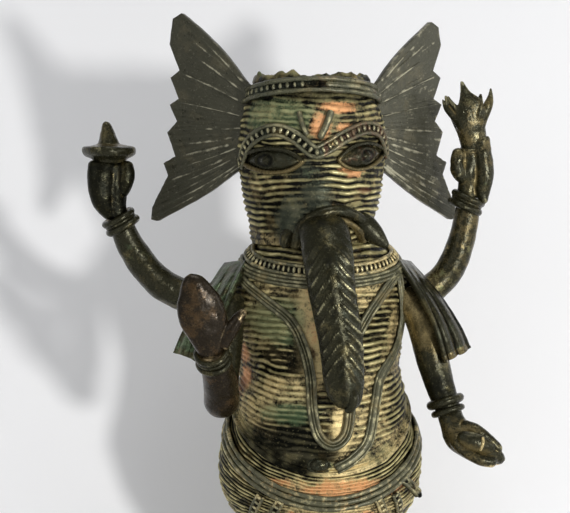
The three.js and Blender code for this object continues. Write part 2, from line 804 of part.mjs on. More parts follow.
const chestRoom = threadRoom.add(chestCord(necklacePlaces, cordRadius, gap));
for (const [side, name] of [[-1, "right"], [1, "left"]]) {
  const tail = without(scarfTail(side, scarfThickness), torsoRoom, neckRoom, chestRoom);
  add(`${name}_scarf_tail`, tail, earBronze);
}
const yokeCutters = [torsoRoom, neckRoom, tailRooms.right, tailRooms.left];
add("scarf_yoke", without(scarfYoke(scarfThickness), ...yokeCutters), earBronze);
const scarfRooms = [tailRooms.right, tailRooms.left, scarfYoke(scarfRoom)];

// An arm's root is shaped to the torso, gets its peg, and then makes room for what lies over it.
function seatArm(arm, root) {
  const seated = without(arm, torsoRoom).add(peg(root.at, root.toward, 4));
  return without(seated, chestRoom, ...scarfRooms);
}

// ---- rear arms, raised, each with a bangle and a hand ----
const rearArms = {
  right: {
    path: [
      [rearRoots.right.at[0] + 2, rearRoots.right.at[1], neck - 17],
      [-33, 5, neck - 17],
      [-42, 6, neck - 15.2],
      [-50, 6, neck - 9.6],
      [-55.8, 6, neck - 1.4],
      [-60.2, 5.2, neck + 8.2],
    ],
    sizes: [5, 5, 4.9, 4.6, 4.1, wristRadius],
    up: new THREE.Vector3(-0.16, -0.04, 0.98).normalize(),
    grip: 16.4,
  },
  left: {
    path: [
      [rearRoots.left.at[0] - 2, rearRoots.left.at[1], neck - 17],
      [31.5, 5, neck - 16.4],
      [37.4, 6, neck - 13],
      [42, 6, neck - 6.8],
      [45.4, 6, neck + 3.4],
      [46.8, 5.4, neck + 13.6],
    ],
    sizes: [4.8, 4.6, 4.5, 4.3, 4, wristRadius],
    up: new THREE.Vector3(0.08, -0.04, 0.99).normalize(),
    grip: 14.4,
  },
};

// The way that an arm's path points at its end, and the space that its end fills.
function endOf(path) {
  const curve = new THREE.CatmullRomCurve3(path.map((p) => new THREE.Vector3(...p)));
  return { at: curve.getPoint(1), along: curve.getTangent(1) };
}
function armSpace(path) {
  const end = endOf(path);
  const behind = end.at.clone().addScaledVector(end.along, -12);
  const ahead = end.at.clone().addScaledVector(end.along, gap);
  return limb([behind.toArray(), ahead.toArray()], [14, 14], 8, 1);
}

// A hand stands on its wrist, with folded fingers on one side of the palm and the thumb on the other.
function rearHand(arm, side) {
  const wrist = new THREE.Vector3(...arm.path[5]);
  const at = (out, ahead, rise) => {
    const p = wrist.clone().addScaledVector(arm.up, 1.6 * gap + rise * arm.grip);
    return [p.x + side * out, p.y - ahead, p.z];
  };
  const palm = limb(
    [at(0, 0, -0.12), at(0, 0.4, 0.45), at(0, 0.6, 1)],
    [
      [3.1, 3.4],
      [4, 5.2],
      [3.3, 5.4],
    ],
    10,
    4,
  );
  const fingers = limb([at(2.6, 2, 0.12), at(3.8, 3.2, 0.5), at(3.2, 2.6, 0.94)], [2, 2.8, 2.4], 8, 3);
  const thumb = limb([at(-2.4, 1.6, 0.3), at(-3.8, 2.2, 0.6), at(-3, 1.8, 0.94)], [1.8, 2.2, 1.8], 8, 3);
  return without(palm.add(fingers).add(thumb), armSpace(arm.path));
}

// A bangle round the end of an arm's path.
function bangle(path) {
  const end = endOf(path);
  const centre = end.at.addScaledVector(end.along, -bangleHeight - gap);
  const middle = wristRadius + 2.4 * gap + bangleRadius;
  return ring(centre.toArray(), end.along.toArray(), middle, bangleRadius, bangleHeight);
}

function heldAt(arm) {
  return new THREE.Vector3(...arm.path[5]).addScaledVector(arm.up, arm.grip + 3 * gap);
}

for (const [side, name] of [[-1, "right"], [1, "left"]]) {
  const arm = rearArms[name];
  const rod = seatArm(limb(arm.path, arm.sizes, 10, 10), rearRoots[name]);
  add(`${name}_rear_arm`, rod, darkBronze);
  add(`${name}_rear_bangle`, bangle(arm.path), cordBronze);
  add(`${name}_rear_hand`, rearHand(arm, side), handBronze);
}

// ---- what the rear hands hold, each with its flat foot on the fist ----
function discFinial() {
  const profile = [
    [0, 0],
    [4.6, 0],
    [7.4, 1.4],
    [7.8, 2.7],
    [6.6, 4],
    [3.6, 4.6],
    [3, 5.8],
    [2.4, 7.8],
    [1.3, 10],
    [0, 10.6],
  ].map(([r, z]) => new THREE.Vector2(r, z));
  const turned = new THREE.LatheGeometry(profile, 16).rotateX(Math.PI / 2);
  const seat = heldAt(rearArms.right);
  return solidOf(turned.translate(seat.x, seat.y - 0.6, seat.z + 1.2));
}
add("disc_finial", discFinial(), darkBronze);

function lotus() {
  const up = new THREE.Vector3(-0.12, 0, 0.99).normalize();
  const seat = heldAt(rearArms.left).add(new THREE.Vector3(-0.6, -0.6, 0.6));
  const at = (out, angle, rise) =>
    seat
      .clone()
      .addScaledVector(up, rise)
      .add(new THREE.Vector3(Math.cos(angle), Math.sin(angle), 0).multiplyScalar(out))
      .toArray();
  const bud = limb([at(0, 0, 0), at(0, 0, 8), at(0, 0, 18.5)], [3.2, 4.2, 0.5], 8, 4);
  const petals = [0, 72, 144, 216, 288].map((degrees) => {
    const angle = THREE.MathUtils.degToRad(degrees);
    return limb([at(1.5, angle, 2), at(5, angle, 7), at(7, angle, 14)], [1.6, 1.7, 0.5], 6, 3);
  });
  return petals.reduce((all, petal) => all.add(petal), bud);
}
add("lotus_bud", lotus(), handBronze);

// ---- right front arm, bent up, with its palm forward ----
const elbow = [-30.4, -14.6, neck - 44];
const blessWrist = [-34.4, -28.6, neck - 29.4];
const rightRoot = frontRoots.right;
const upperPath = [
  [rightRoot.at[0] + 2, rightRoot.at[1] + 1, rightRoot.at[2] + 1],
  [-28.2, -8.4, neck - 22],
  [-29.4, -11, neck - 33],
  [elbow[0], elbow[1] + 2, elbow[2]],
];
const forearmPath = [[elbow[0], elbow[1] - 0.6, elbow[2] - 0.6], [-32, -22.4, neck - 36.6], blessWrist];
const forearm = (grow) => limb(forearmPath, [5.1 + grow, 4.7 + grow, wristRadius + grow], 10, 6);
const upperArm = without(limb(upperPath, [4.4, 4.9, 5, 5], 10, 6), forearm(gap));
add("right_front_upper_arm", seatArm(upperArm, rightRoot), darkBronze);
add("right_front_forearm", without(forearm(0), torsoRoom, hipRoom), handBronze);

function blessingHand() {
  const w = new THREE.Vector3(...blessWrist);
  const at = (out, ahead, rise) => [w.x + out, w.y - ahead, w.z + rise];
  const palm = limb(
    [at(0, -0.6, -0.4), at(-1.4, 1.2, 5), at(-3, 2.2, 11), at(-5, 3.4, 18), at(-6.2, 4.2, 23.4)],
    [
      [3.4, 3.8],
      [3, 5.2],
      [3.2, 7.6],
      [2.8, 6],
      [1, 1.4],
    ],
    12,
    9,
  );
  const thumb = limb([at(2.6, 1.4, 4), at(6.4, 2, 9.4), at(9.6, 2, 15.4)], [2.3, 2.3, 1.2], 8, 4);
  return without(palm.add(thumb), armSpace(forearmPath));
}
add("right_front_hand", blessingHand(), handBronze);
add("right_front_bangle", without(bangle(forearmPath), torsoRoom), cordBronze);

// ---- left front arm, lowered, with a sweet on its open hand ----
const offerWrist = [37.6, -12, neck - 50];
const leftRoot = frontRoots.left;
const loweredPath = [
  [leftRoot.at[0] - 2, leftRoot.at[1] + 1, leftRoot.at[2] + 1],
  [30.4, -7.4, neck - 23],
  [33.6, -9.4, neck - 36],
  offerWrist,
];
const lowered = limb(loweredPath, [4.4, 4.9, 4.7, wristRadius], 10, 8);
add("left_front_arm", seatArm(lowered, leftRoot), darkBronze);
add("left_front_bangle", without(bangle(loweredPath), hipRoom, torsoRoom), cordBronze);

function openHand(grow) {
  const w = new THREE.Vector3(...offerWrist);
  const at = (out, ahead, rise) => [w.x + out, w.y - ahead, w.z + rise];
  const palm = limb(
    [at(0, 0, 0), at(3, 2.6, -6), at(8.6, 5.6, -10.6), at(16, 7.6, -13.6)],
    [
      [3.2 + grow, 3.6 + grow],
      [4.8 + grow, 4.6 + grow],
      [5.8 + grow, 3.6 + grow],
      [2.6 + grow, 1.6 + grow],
    ],
    12,
    8,
    new THREE.Vector3(0, -1, 0.5).normalize(),
  );
  return without(palm, armSpace(loweredPath));
}
add("left_front_hand", without(openHand(0), hipRoom), handBronze);
const sweetAt = [offerWrist[0] + 6.2, offerWrist[1] - 8.4, offerWrist[2] - 6.6];
add("sweet", without(ball(sweetAt, [4, 3.8, 3.6], 10), openHand(gap)), handBronze);

export default figure;
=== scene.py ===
# A standing four-armed, elephant-headed deity, cast in brass thread by thread.
import json
import math
import bpy
import numpy as np
from mathutils import Matrix, Vector

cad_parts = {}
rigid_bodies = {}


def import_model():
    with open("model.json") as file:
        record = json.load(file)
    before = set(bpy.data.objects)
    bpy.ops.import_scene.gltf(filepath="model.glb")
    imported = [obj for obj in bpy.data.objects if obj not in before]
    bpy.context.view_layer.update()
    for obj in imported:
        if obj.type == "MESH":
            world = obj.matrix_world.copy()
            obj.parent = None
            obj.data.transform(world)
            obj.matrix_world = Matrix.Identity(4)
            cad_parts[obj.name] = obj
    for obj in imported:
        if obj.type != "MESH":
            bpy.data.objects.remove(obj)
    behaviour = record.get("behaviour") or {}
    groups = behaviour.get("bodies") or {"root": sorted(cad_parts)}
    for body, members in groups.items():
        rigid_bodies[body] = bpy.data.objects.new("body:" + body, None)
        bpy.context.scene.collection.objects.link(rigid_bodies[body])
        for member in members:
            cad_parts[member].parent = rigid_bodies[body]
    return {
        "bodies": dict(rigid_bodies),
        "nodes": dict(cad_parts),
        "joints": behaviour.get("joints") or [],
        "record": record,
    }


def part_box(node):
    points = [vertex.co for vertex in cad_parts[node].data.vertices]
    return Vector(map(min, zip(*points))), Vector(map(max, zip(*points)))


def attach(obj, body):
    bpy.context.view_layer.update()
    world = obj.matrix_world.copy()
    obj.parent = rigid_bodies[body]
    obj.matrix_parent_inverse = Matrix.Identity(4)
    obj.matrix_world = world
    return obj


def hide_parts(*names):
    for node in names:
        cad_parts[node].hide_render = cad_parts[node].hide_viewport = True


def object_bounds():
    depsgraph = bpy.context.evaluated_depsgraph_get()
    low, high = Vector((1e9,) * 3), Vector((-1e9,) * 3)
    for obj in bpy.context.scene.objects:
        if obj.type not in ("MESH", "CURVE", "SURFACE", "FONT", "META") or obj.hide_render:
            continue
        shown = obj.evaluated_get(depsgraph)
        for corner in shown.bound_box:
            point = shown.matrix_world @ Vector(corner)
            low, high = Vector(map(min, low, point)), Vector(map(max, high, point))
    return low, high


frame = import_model()
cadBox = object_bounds()
bpy.ops.object.select_all(action="DESELECT")
mm = 0.001
turn = 2 * math.pi
print("frame loaded:", len(frame["nodes"]), "nodes")


# Work is done in millimetres, and turned into metres when a mesh is placed.
def boxOf(node):
    low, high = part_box(node)
    return np.array(low) / mm, np.array(high) / mm


def middleOf(node):
    low, high = boxOf(node)
    return (low + high) / 2


neck = boxOf("torso_shell")[1][2]
torsoX = middleOf("torso_shell")[0]
headX = middleOf("head_shell")[0]
headTop = boxOf("head_shell")[1][2]
hipX = middleOf("hip_shell")[0]
hipBottom = boxOf("hip_shell")[0][2]
hipTop = boxOf("hip_shell")[1][2] + 0.3


# Lines, noise and surfaces
def runOf(points):
    # How far along its line each point lies.
    steps = np.linalg.norm(np.diff(points, axis=0), axis=1)
    return np.concatenate([[0], np.cumsum(steps)])


def valuesAt(run, at, values):
    return np.stack([np.interp(at, run, column) for column in values.T], 1)


def smoothLine(points, count):
    # A smooth line through the points, at even distances along it.
    p = np.array(points, float)
    p = np.vstack([2 * p[0] - p[1], p, 2 * p[-1] - p[-2]])
    t = np.linspace(0, 1, 24, endpoint=False)[:, None]
    runs = []
    for k in range(1, len(p) - 2):
        a, b, c, d = p[k - 1:k + 3]
        runs.append(0.5 * (2 * b + (c - a) * t + (2 * a - 5 * b + 4 * c - d) * t ** 2
                           + (3 * b - a - 3 * c + d) * t ** 3))
    dense = np.vstack(runs + [p[-2][None]])
    run = runOf(dense[:, :3])
    return valuesAt(run, np.linspace(0, run[-1], count), dense)


def unit(v):
    return v / np.maximum(np.linalg.norm(v, axis=-1, keepdims=True), 1e-9)


def grain(points, size, seed=0):
    # Soft random lumps from -1 to 1, this many millimetres across.
    q = points / size
    cell = np.floor(q).astype(np.int64)
    f = q - cell
    f = f * f * (3 - 2 * f)
    total = np.zeros(len(q))
    for corner in range(8):
        step = np.array([corner & 1, corner >> 1 & 1, corner >> 2 & 1])
        c = cell + step
        h = c[:, 0] * 374761393 + c[:, 1] * 668265263 + c[:, 2] * 1103515245 + seed * 97531
        h = (h ^ (h >> 13)) * 1274126177
        h = (h ^ (h >> 16)) & 0xFFFF
        total += np.prod(np.where(step == 1, f, 1 - f), axis=1) * (h / 32767.5 - 1)
    return total


def spot(x, z, patch):
    # How far a place lies inside a soft-edged patch: x, z, half width, half height, strength.
    away = np.hypot((x - patch[0]) / patch[2], (z - patch[1]) / patch[3])
    return np.clip(1.5 - away * 0.9, 0, 1) * patch[4]


def bodyShape(x, stations):
    # Each station is height, half width, depth in front, depth behind.
    line = smoothLine(stations, 200)
    order = np.argsort(line[:, 0])
    return {"x": x, "line": line[order]}


def sizesAt(body, z):
    line = body["line"]
    return [np.interp(z, line[:, 0], line[:, k]) for k in (1, 2, 3)]


def bodyPoint(body, angle, z):
    wide, ahead, behind = sizesAt(body, z)
    depth = np.where(np.sin(angle) < 0, ahead, behind)
    return np.stack([body["x"] + wide * np.cos(angle), depth * np.sin(angle), z + 0 * angle], -1)


def onBody(body, angle, z, lift=0):
    # A place on a body, lifted off it, and the way straight out of it.
    around = bodyPoint(body, angle + 0.01, z) - bodyPoint(body, angle - 0.01, z)
    upward = bodyPoint(body, angle, z + 0.3) - bodyPoint(body, angle, z - 0.3)
    out = unit(np.cross(around, upward))
    return bodyPoint(body, angle, z) + out * np.expand_dims(lift + 0 * z, -1), out


def frontAngle(body, x, z):
    wide = sizesAt(body, z)[0]
    return -np.arccos(np.clip((x - body["x"]) / wide, -0.999, 0.999))


# Mesh making
def toEdit(action):
    bpy.ops.object.mode_set(mode="EDIT")
    bpy.ops.mesh.select_all(action="SELECT")
    action()
    bpy.ops.object.mode_set(mode="OBJECT")


def tidy():
    bpy.ops.mesh.remove_doubles(threshold=0.002 * mm)
    bpy.ops.mesh.dissolve_degenerate(threshold=0.0001 * mm)
    bpy.ops.mesh.normals_make_consistent(inside=False)


def setPaint(piece, paint):
    for key, value in paint.items():
        layer = piece.data.attributes.get(key) or piece.data.attributes.new(key, "FLOAT", "POINT")
        full = np.broadcast_to(np.clip(value, 0, 1), len(layer.data))
        layer.data.foreach_set("value", full.astype(np.float32))
    return piece


def placesOf(piece):
    co = np.empty(len(piece.data.vertices) * 3, np.float32)
    piece.data.vertices.foreach_get("co", co)
    return co.reshape(-1, 3)


def outwardOf(piece):
    # The way out of the surface at each of its points.
    no = np.empty(len(piece.data.vertices) * 3, np.float32)
    piece.data.vertex_normals.foreach_get("vector", no)
    return no.reshape(-1, 3)


def movePlaces(piece, co):
    piece.data.vertices.foreach_set("co", co.astype(np.float32).ravel())
    piece.data.update()


def painted(piece, rule):
    # Paint that depends on where each part of a finished mesh lies.
    return setPaint(piece, rule(placesOf(piece) / mm))


def shaped(name, across, along, place):
    # A grid whose crossings are moved to their places; edges that meet are closed.
    bpy.ops.object.select_all(action="DESELECT")
    bpy.ops.mesh.primitive_grid_add(x_subdivisions=across, y_subdivisions=along, size=1)
    piece = bpy.context.object
    piece.name = name
    co = placesOf(piece)
    i = np.rint((co[:, 0] + 0.5) * across).astype(int)
    j = np.rint((co[:, 1] + 0.5) * along).astype(int)
    where, paint = place(i, j)
    movePlaces(piece, where * mm)
    setPaint(piece, paint)
    toEdit(tidy)
    bpy.ops.object.shade_smooth()
    return piece


def joined(name, parts):
    bpy.ops.object.select_all(action="DESELECT")
    for part in parts:
        part.select_set(True)
    bpy.context.view_layer.objects.active = parts[0]
    if len(parts) > 1:
        bpy.ops.object.join()
    parts[0].name = name
    return parts[0]


def applied(piece, kind, **settings):
    bpy.ops.object.select_all(action="DESELECT")
    piece.select_set(True)
    bpy.context.view_layer.objects.active = piece
    change = piece.modifiers.new(kind.lower(), kind)
    for key, value in settings.items():
        setattr(change, key, value)
    bpy.ops.object.modifier_apply(modifier=change.name)


def copies(piece, frames):
    # One copy, with its own mesh, for each frame; the first one is not kept.
    row = []
    for place in frames:
        one = piece.copy()
        one.data = piece.data.copy()
        one.data.transform(place)
        bpy.context.scene.collection.objects.link(one)
        row.append(one)
    bpy.data.objects.remove(piece)
    return row


def framesAlong(points, ahead, out):
    # Frames with X along the run, Z out of the surface.
    frames = []
    for p, a, o in zip(points, unit(ahead), unit(out)):
        side = np.cross(o, a)
        m = Matrix([[a[0], side[0], o[0], p[0] * mm], [a[1], side[1], o[1], p[1] * mm],
                    [a[2], side[2], o[2], p[2] * mm], [0, 0, 0, 1]])
        frames.append(m)
    return frames


def waysAlong(points, closed):
    # The way that the line runs at each point; a closed line ends where it starts.
    if not closed:
        return unit(np.gradient(points, axis=0))
    along = np.roll(points[:-1], -1, 0) - np.roll(points[:-1], 1, 0)
    return unit(np.vstack([along, along[:1]]))


def tube(name, points, radius, out=None, sides=10, flat=1, closed=False, tip=None, lift=None):
    # A strand along points: flat is its height over its width, out the way its top faces.
    points = np.array(points, float)
    rows = len(points) - 1
    along = waysAlong(points, closed)
    top = np.array([0, -1, 0.0]) if out is None else np.array(out, float)
    top = np.broadcast_to(top, points.shape)
    top = unit(top - along * np.sum(top * along, 1, keepdims=True))
    side = np.cross(along, top)
    wide = np.broadcast_to(np.array(radius, float), (rows + 1,)).copy()
    if not closed:
        run = runOf(points)
        end = np.minimum(run, run[-1] - run)
        reach = wide.max() if tip is None else tip
        wide *= np.sqrt(np.clip(1 - (1 - np.clip(end / reach, 0, 1)) ** 2, 0, 1))

    def place(i, j):
        a = turn * (i % sides) / sides
        more = 0 if lift is None else lift(a, j)
        p = points[j] + side[j] * (np.cos(a) * (wide[j] + more))[:, None]
        p += top[j] * (np.sin(a) * (wide[j] * flat + more))[:, None]
        p += 0.05 * unit(p - points[j]) * grain(p, 1.6, 3)[:, None] * (wide[j] > 0.01)[:, None]
        return p, {"relief": 0.38 + 0.38 * np.sin(a)}
    return shaped(name, sides, rows, place)


def wearMarks(piece, gain=1.2, reach=3):
    # Bare high places and dirty low ones, from how the mesh bulges.
    co, no = placesOf(piece) / mm, outwardOf(piece)
    count = len(co)
    ends = np.empty(len(piece.data.edges) * 2, np.int32)
    piece.data.edges.foreach_get("vertices", ends)
    ends = ends.reshape(-1, 2)
    near = np.bincount(ends.ravel(), minlength=count)

    def around(values):
        total = np.bincount(ends[:, 0], values[ends[:, 1]], count)
        return (total + np.bincount(ends[:, 1], values[ends[:, 0]], count)) / np.maximum(near, 1)

    mean = np.stack([around(co[:, k]) for k in range(3)], 1)
    length = np.linalg.norm(co[ends[:, 0]] - co[ends[:, 1]], axis=1).mean()
    bulge = np.sum((co - mean) * no, 1) / length ** 2
    for _ in range(reach):
        bulge = 0.4 * bulge + 0.6 * around(bulge)
    setPaint(piece, {"relief": 0.5 + gain * bulge})


def limb(name, places, sides=32, rows=70, facing=(0, -1, 0), tip=0, dents=0.14, seed=0, lift=None):
    # Each place is x, y, z, radius front to back, radius sideways.
    line = smoothLine(places, rows + 1)
    middle = line[:, :3]
    along = unit(np.gradient(middle, axis=0))
    ahead = np.broadcast_to(np.array(facing, float), along.shape)
    ahead = unit(ahead - along * np.sum(ahead * along, 1, keepdims=True))
    side = np.cross(along, ahead)
    run = runOf(middle)
    close = np.ones(rows + 1)
    close[0] = close[-1] = 0
    if tip:
        left = np.clip((run[-1] - run) / tip, 0, 1)
        close = np.minimum(close, np.sqrt(1 - (1 - left) ** 2))

    def place(i, j):
        a = turn * (i % sides) / sides
        deep, wide = line[j, 3] * close[j], line[j, 4] * close[j]
        p = middle[j] + ahead[j] * (np.sin(a) * deep)[:, None] + side[j] * (np.cos(a) * wide)[:, None]
        out = unit(p - middle[j])
        more = dents * grain(p, 5, seed) + 0.45 * dents * grain(p, 1.8, seed + 1)
        extra, paint = (0, {}) if lift is None else lift(a, run[j], p)
        p = p + out * ((more + extra) * (close[j] > 0))[:, None]
        return p, {"relief": 0.52, **paint}
    return shaped(name, sides, rows, place)


def fused(name, parts, voxel, smooth=4):
    # Lumps of wax pressed together into one skin.
    piece = joined(name, parts)
    applied(piece, "REMESH", mode="VOXEL", voxel_size=voxel * mm, use_smooth_shade=True)
    applied(piece, "SMOOTH", factor=0.5, iterations=smooth)
    return piece


def lump(name, at, sizes, turned=(0, 0, 0), segments=20):
    bpy.ops.object.select_all(action="DESELECT")
    bpy.ops.mesh.primitive_uv_sphere_add(segments=segments, ring_count=segments // 2, radius=mm)
    piece = bpy.context.object
    piece.name = name
    painted(piece, lambda p: {"relief": 0.42 + 0.58 * p[:, 2]})
    bend = Matrix.Rotation(math.radians(turned[2]), 4, "Z") @ Matrix.Rotation(
        math.radians(turned[1]), 4, "Y") @ Matrix.Rotation(math.radians(turned[0]), 4, "X")
    piece.data.transform(Matrix.Translation(Vector(np.array(at) * mm)) @ bend
                         @ Matrix.Diagonal((*sizes, 1)))
    bpy.ops.object.shade_smooth()
    return piece


def roughened(piece, sizes, seed=0):
    # Small dents of a hand-made wax, each size with its depth.
    co = placesOf(piece)
    depth = sum(d * grain(co / mm, s, seed + k) for k, (s, d) in enumerate(sizes))
    movePlaces(piece, co + outwardOf(piece) * (depth * mm)[:, None])
    return piece


# Finishes
def shade(red, green, blue):
    # A colour as it looks, 0 to 255, as the light values a shader wants.
    parts = [v / 255 for v in (red, green, blue)]
    return (*[v / 12.92 if v < 0.04 else ((v + 0.055) / 1.055) ** 2.4 for v in parts], 1)


class Wire:
    def __init__(self, finish, socket):
        self.finish, self.socket = finish, socket

    def sum(self, kind, first, second):
        return self.finish.node("ShaderNodeMath", {"operation": kind}, {0: first, 1: second})

    def __add__(self, other):
        return self.sum("ADD", self, other)

    def __sub__(self, other):
        return self.sum("SUBTRACT", self, other)

    def __mul__(self, other):
        return self.sum("MULTIPLY", self, other)

    def __radd__(self, other):
        return self.sum("ADD", other, self)

    def __rsub__(self, other):
        return self.sum("SUBTRACT", other, self)

    def __rmul__(self, other):
        return self.sum("MULTIPLY", other, self)


class Finish:
    def __init__(self, name):
        self.material = bpy.data.materials.new(name)
        self.material.use_nodes = True
        self.tree = self.material.node_tree
        self.tree.nodes.clear()

    def node(self, kind, settings=None, values=None, out=0):
        step = self.tree.nodes.new(kind)
        for key, value in (settings or {}).items():
            setattr(step, key, value)
        for key, value in (values or {}).items():
            if isinstance(value, Wire):
                self.tree.links.new(value.socket, step.inputs[key])
            else:
                step.inputs[key].default_value = value
        return Wire(self, step.outputs[out])

    def mix(self, share, first, second, kind="MIX"):
        return self.node("ShaderNodeMix", {"data_type": "RGBA", "blend_type": kind},
                         {0: share, 6: first, 7: second}, 2)

    def rise(self, value, low, high):
        return self.node("ShaderNodeMapRange", {"interpolation_type": "SMOOTHSTEP"},
                         {"Value": value, "From Min": low, "From Max": high})

    def noise(self, size, detail=3, rough=0.55, stretch=(1, 1, 1)):
        place = self.node("ShaderNodeTexCoord", out=3)
        if stretch != (1, 1, 1):
            place = self.node("ShaderNodeMapping", None, {"Vector": place, "Scale": stretch})
        return self.node("ShaderNodeTexNoise", None, {
            "Vector": place, "Scale": 1 / (size * mm), "Detail": detail, "Roughness": rough})

    def paint(self, name):
        return self.node("ShaderNodeAttribute", {"attribute_name": name}, out=2)

    def close(self, colour, rough, metallic, bump, strength, **fixed):
        skin = self.node("ShaderNodeBump", None,
                         {"Height": bump, "Distance": 0.2 * mm, "Strength": strength})
        values = {"Base Color": colour, "Roughness": rough, "Metallic": metallic, "Normal": skin}
        surface = self.node("ShaderNodeBsdfPrincipled", None, {**values, **fixed})
        return self.end(surface)

    def end(self, surface):
        last = self.tree.nodes.new("ShaderNodeOutputMaterial")
        self.tree.links.new(surface.socket, last.inputs["Surface"])
        return self.material


# Tones run from the dirt in the valleys to the bare metal on worn edges. Relief, from 0 to 1, turns
# deep into skin between low and high, and skin into rub past rubAt; hollow keeps the valleys from shining.
looks = {
    "body": {
        "deep": (12, 12, 8), "skin": (142, 134, 90), "rub": (232, 220, 162), "dust": (160, 138, 90),
        "low": 0.26, "high": 0.64, "rubAt": 0.72, "grime": 0.62, "dusty": 0.5,
        "gloss": 0.32, "metal": 0.25, "shine": 0.45, "bump": 0.8, "hollow": 0.5},
    "dark": {
        "deep": (104, 92, 58), "skin": (46, 45, 30), "rub": (180, 174, 136), "dust": (108, 99, 66),
        "low": 0.1, "high": 0.42, "rubAt": 0.8, "grime": 0.34, "dusty": 0.7,
        "gloss": 0.08, "metal": 0.55, "shine": 0.3, "bump": 0.55, "hollow": 0},
    "ear": {
        "deep": (22, 22, 16), "skin": (67, 66, 52), "rub": (196, 191, 164), "dust": (98, 92, 70),
        "low": 0.1, "high": 0.42, "rubAt": 0.74, "grime": 0.2, "dusty": 0.6,
        "gloss": 0.2, "metal": 0.35, "shine": 0.42, "bump": 0.7, "hollow": 0.4},
    "hand": {
        "deep": (74, 62, 40), "skin": (38, 31, 20), "rub": (168, 148, 110), "dust": (96, 74, 46),
        "low": 0.06, "high": 0.36, "rubAt": 0.8, "grime": 0.25, "dusty": 0.6,
        "gloss": 0.06, "metal": 0.4, "shine": 0.25, "bump": 0.4, "hollow": 0},
    "cord": {
        "deep": (12, 12, 8), "skin": (84, 83, 61), "rub": (210, 202, 156), "dust": (146, 128, 84),
        "low": 0.18, "high": 0.54, "rubAt": 0.66, "grime": 0.3, "dusty": 0.55,
        "gloss": 0.2, "metal": 0.3, "shine": 0.5, "bump": 0.6, "hollow": 0.6},
}
# Each stain has its tone, how strongly it covers, and how much of it reaches into the valleys.
stains = {
    "tan": ((228, 206, 148), 0.88, 0.56), "ochre": ((116, 102, 66), 0.75, 0.8),
    "salmon": ((230, 168, 114), 0.88, 0.66), "soot": ((22, 23, 19), 0.85, 1),
    "slate": ((66, 71, 59), 0.75, 1), "verdigris": ((112, 134, 96), 0.6, 0.6),
    "rust": ((112, 62, 42), 0.6, 0.5),
}
pitTone = (20, 19, 13)


def castFinish(name, look):
    f = Finish(name)
    relief = f.paint("relief")
    broad, lumps, fine = f.noise(11, 3), f.noise(2.6, 4, 0.6), f.noise(0.55, 3, 0.6)
    # Dirt lies in the low places, and in some parts climbs most of the way up each thread.
    high = relief - (broad - 0.42) * look["grime"] + (lumps - 0.5) * 0.5 + (fine - 0.5) * 0.3
    up = f.rise(high, look["low"], look["high"])
    colour = f.mix(up, shade(*look["deep"]), shade(*look["skin"]))
    dusty = f.rise(f.noise(7, 4, 0.65) + (fine - 0.5) * 0.3, 0.52, 0.68)
    colour = f.mix(dusty * look["dusty"] * (0.4 + relief * 0.6), colour, shade(*look["dust"]))
    worn = f.rise(high + (lumps - 0.5) * 0.5, look["rubAt"], look["rubAt"] + 0.34)
    colour = f.mix(worn * 0.8, colour, shade(*look["rub"]))
    ragged = (lumps - 0.5) * 1.3 + (fine - 0.5) * 0.8 + (broad - 0.5) * 0.5
    for key, (tone, reach, floor) in stains.items():
        share = f.rise(f.paint(key) + ragged, 0.4, 0.95)
        hold = share * (f.rise(relief, 0.05, 0.45) * (1 - floor) + floor)
        if key == "soot":  # black lies between the threads more than on them
            hold = share * (1 - f.rise(relief, 0.5, 0.9) * 0.85)
        colour = f.mix(hold * reach, colour, shade(*tone))
    pits = f.rise(fine + (lumps - 0.5) * 0.3, 0.6, 0.74)
    colour = f.mix(pits * 0.6, colour, shade(*pitTone))
    # Bright flecks in the rub tone: partly bare metal showing through, partly painted glints standing in for
    # speckled highlights.
    flecksAndGlints = f.rise(f.noise(0.7, 2, 0.6, (1, 1, 1.2)), 0.6, 0.74)
    colour = f.mix(flecksAndGlints * 0.14, colour, shade(*look["rub"]))
    hollow = (1 - up) * look["hollow"]
    rough = look["gloss"] + (1 - worn) * 0.1 + (lumps - 0.4) * 0.5 + (fine - 0.4) * 0.4
    rough = rough + f.paint("soot") * 0.06 - f.paint("slate") * 0.12
    metal = look["metal"] + worn * 0.25 + hollow + f.paint("soot") * 0.35
    dents = fine * 0.7 + f.noise(1.3, 2) * 0.6 + lumps * 1.1
    return f.close(colour, rough, metal, dents, look["bump"], **{"Specular IOR Level": look["shine"]})


finishes = {key: castFinish(key + "Cast", look) for key, look in looks.items()}


def clayFinish():
    f = Finish("bakedClay")
    lumps, fine = f.noise(4, 4), f.noise(0.6, 3)
    colour = f.mix(f.rise(lumps, 0.35, 0.65), shade(150, 112, 76), shade(190, 154, 112))
    colour = f.mix(f.rise(fine, 0.55, 0.7) * 0.5, colour, shade(96, 70, 48))
    return f.close(colour, 0.85 + fine * 0.1, 0, fine, 0.6)


made = []


def finished(piece, node, finish):
    piece.data.materials.clear()
    piece.data.materials.append(finishes[finish])
    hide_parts(node)
    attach(piece, "root")
    made.append(piece)
    return piece


# The three thread-wound bodies
waistDip = {"dip": 22, "back": 8, "run": 33, "power": 1.35}


def waistAt(y):
    # The waist line dips towards the front.
    ahead = np.maximum(0, waistDip["back"] - y) / waistDip["run"]
    return hipTop - waistDip["dip"] * ahead ** waistDip["power"]


def waistOn(body, angle, below=0):
    # Where the waist line crosses a body, found by closing in on it.
    z = np.full(np.shape(angle), hipTop - below, float)
    for _ in range(14):
        z = waistAt(onBody(body, angle, z)[0][..., 1]) - below
    return z


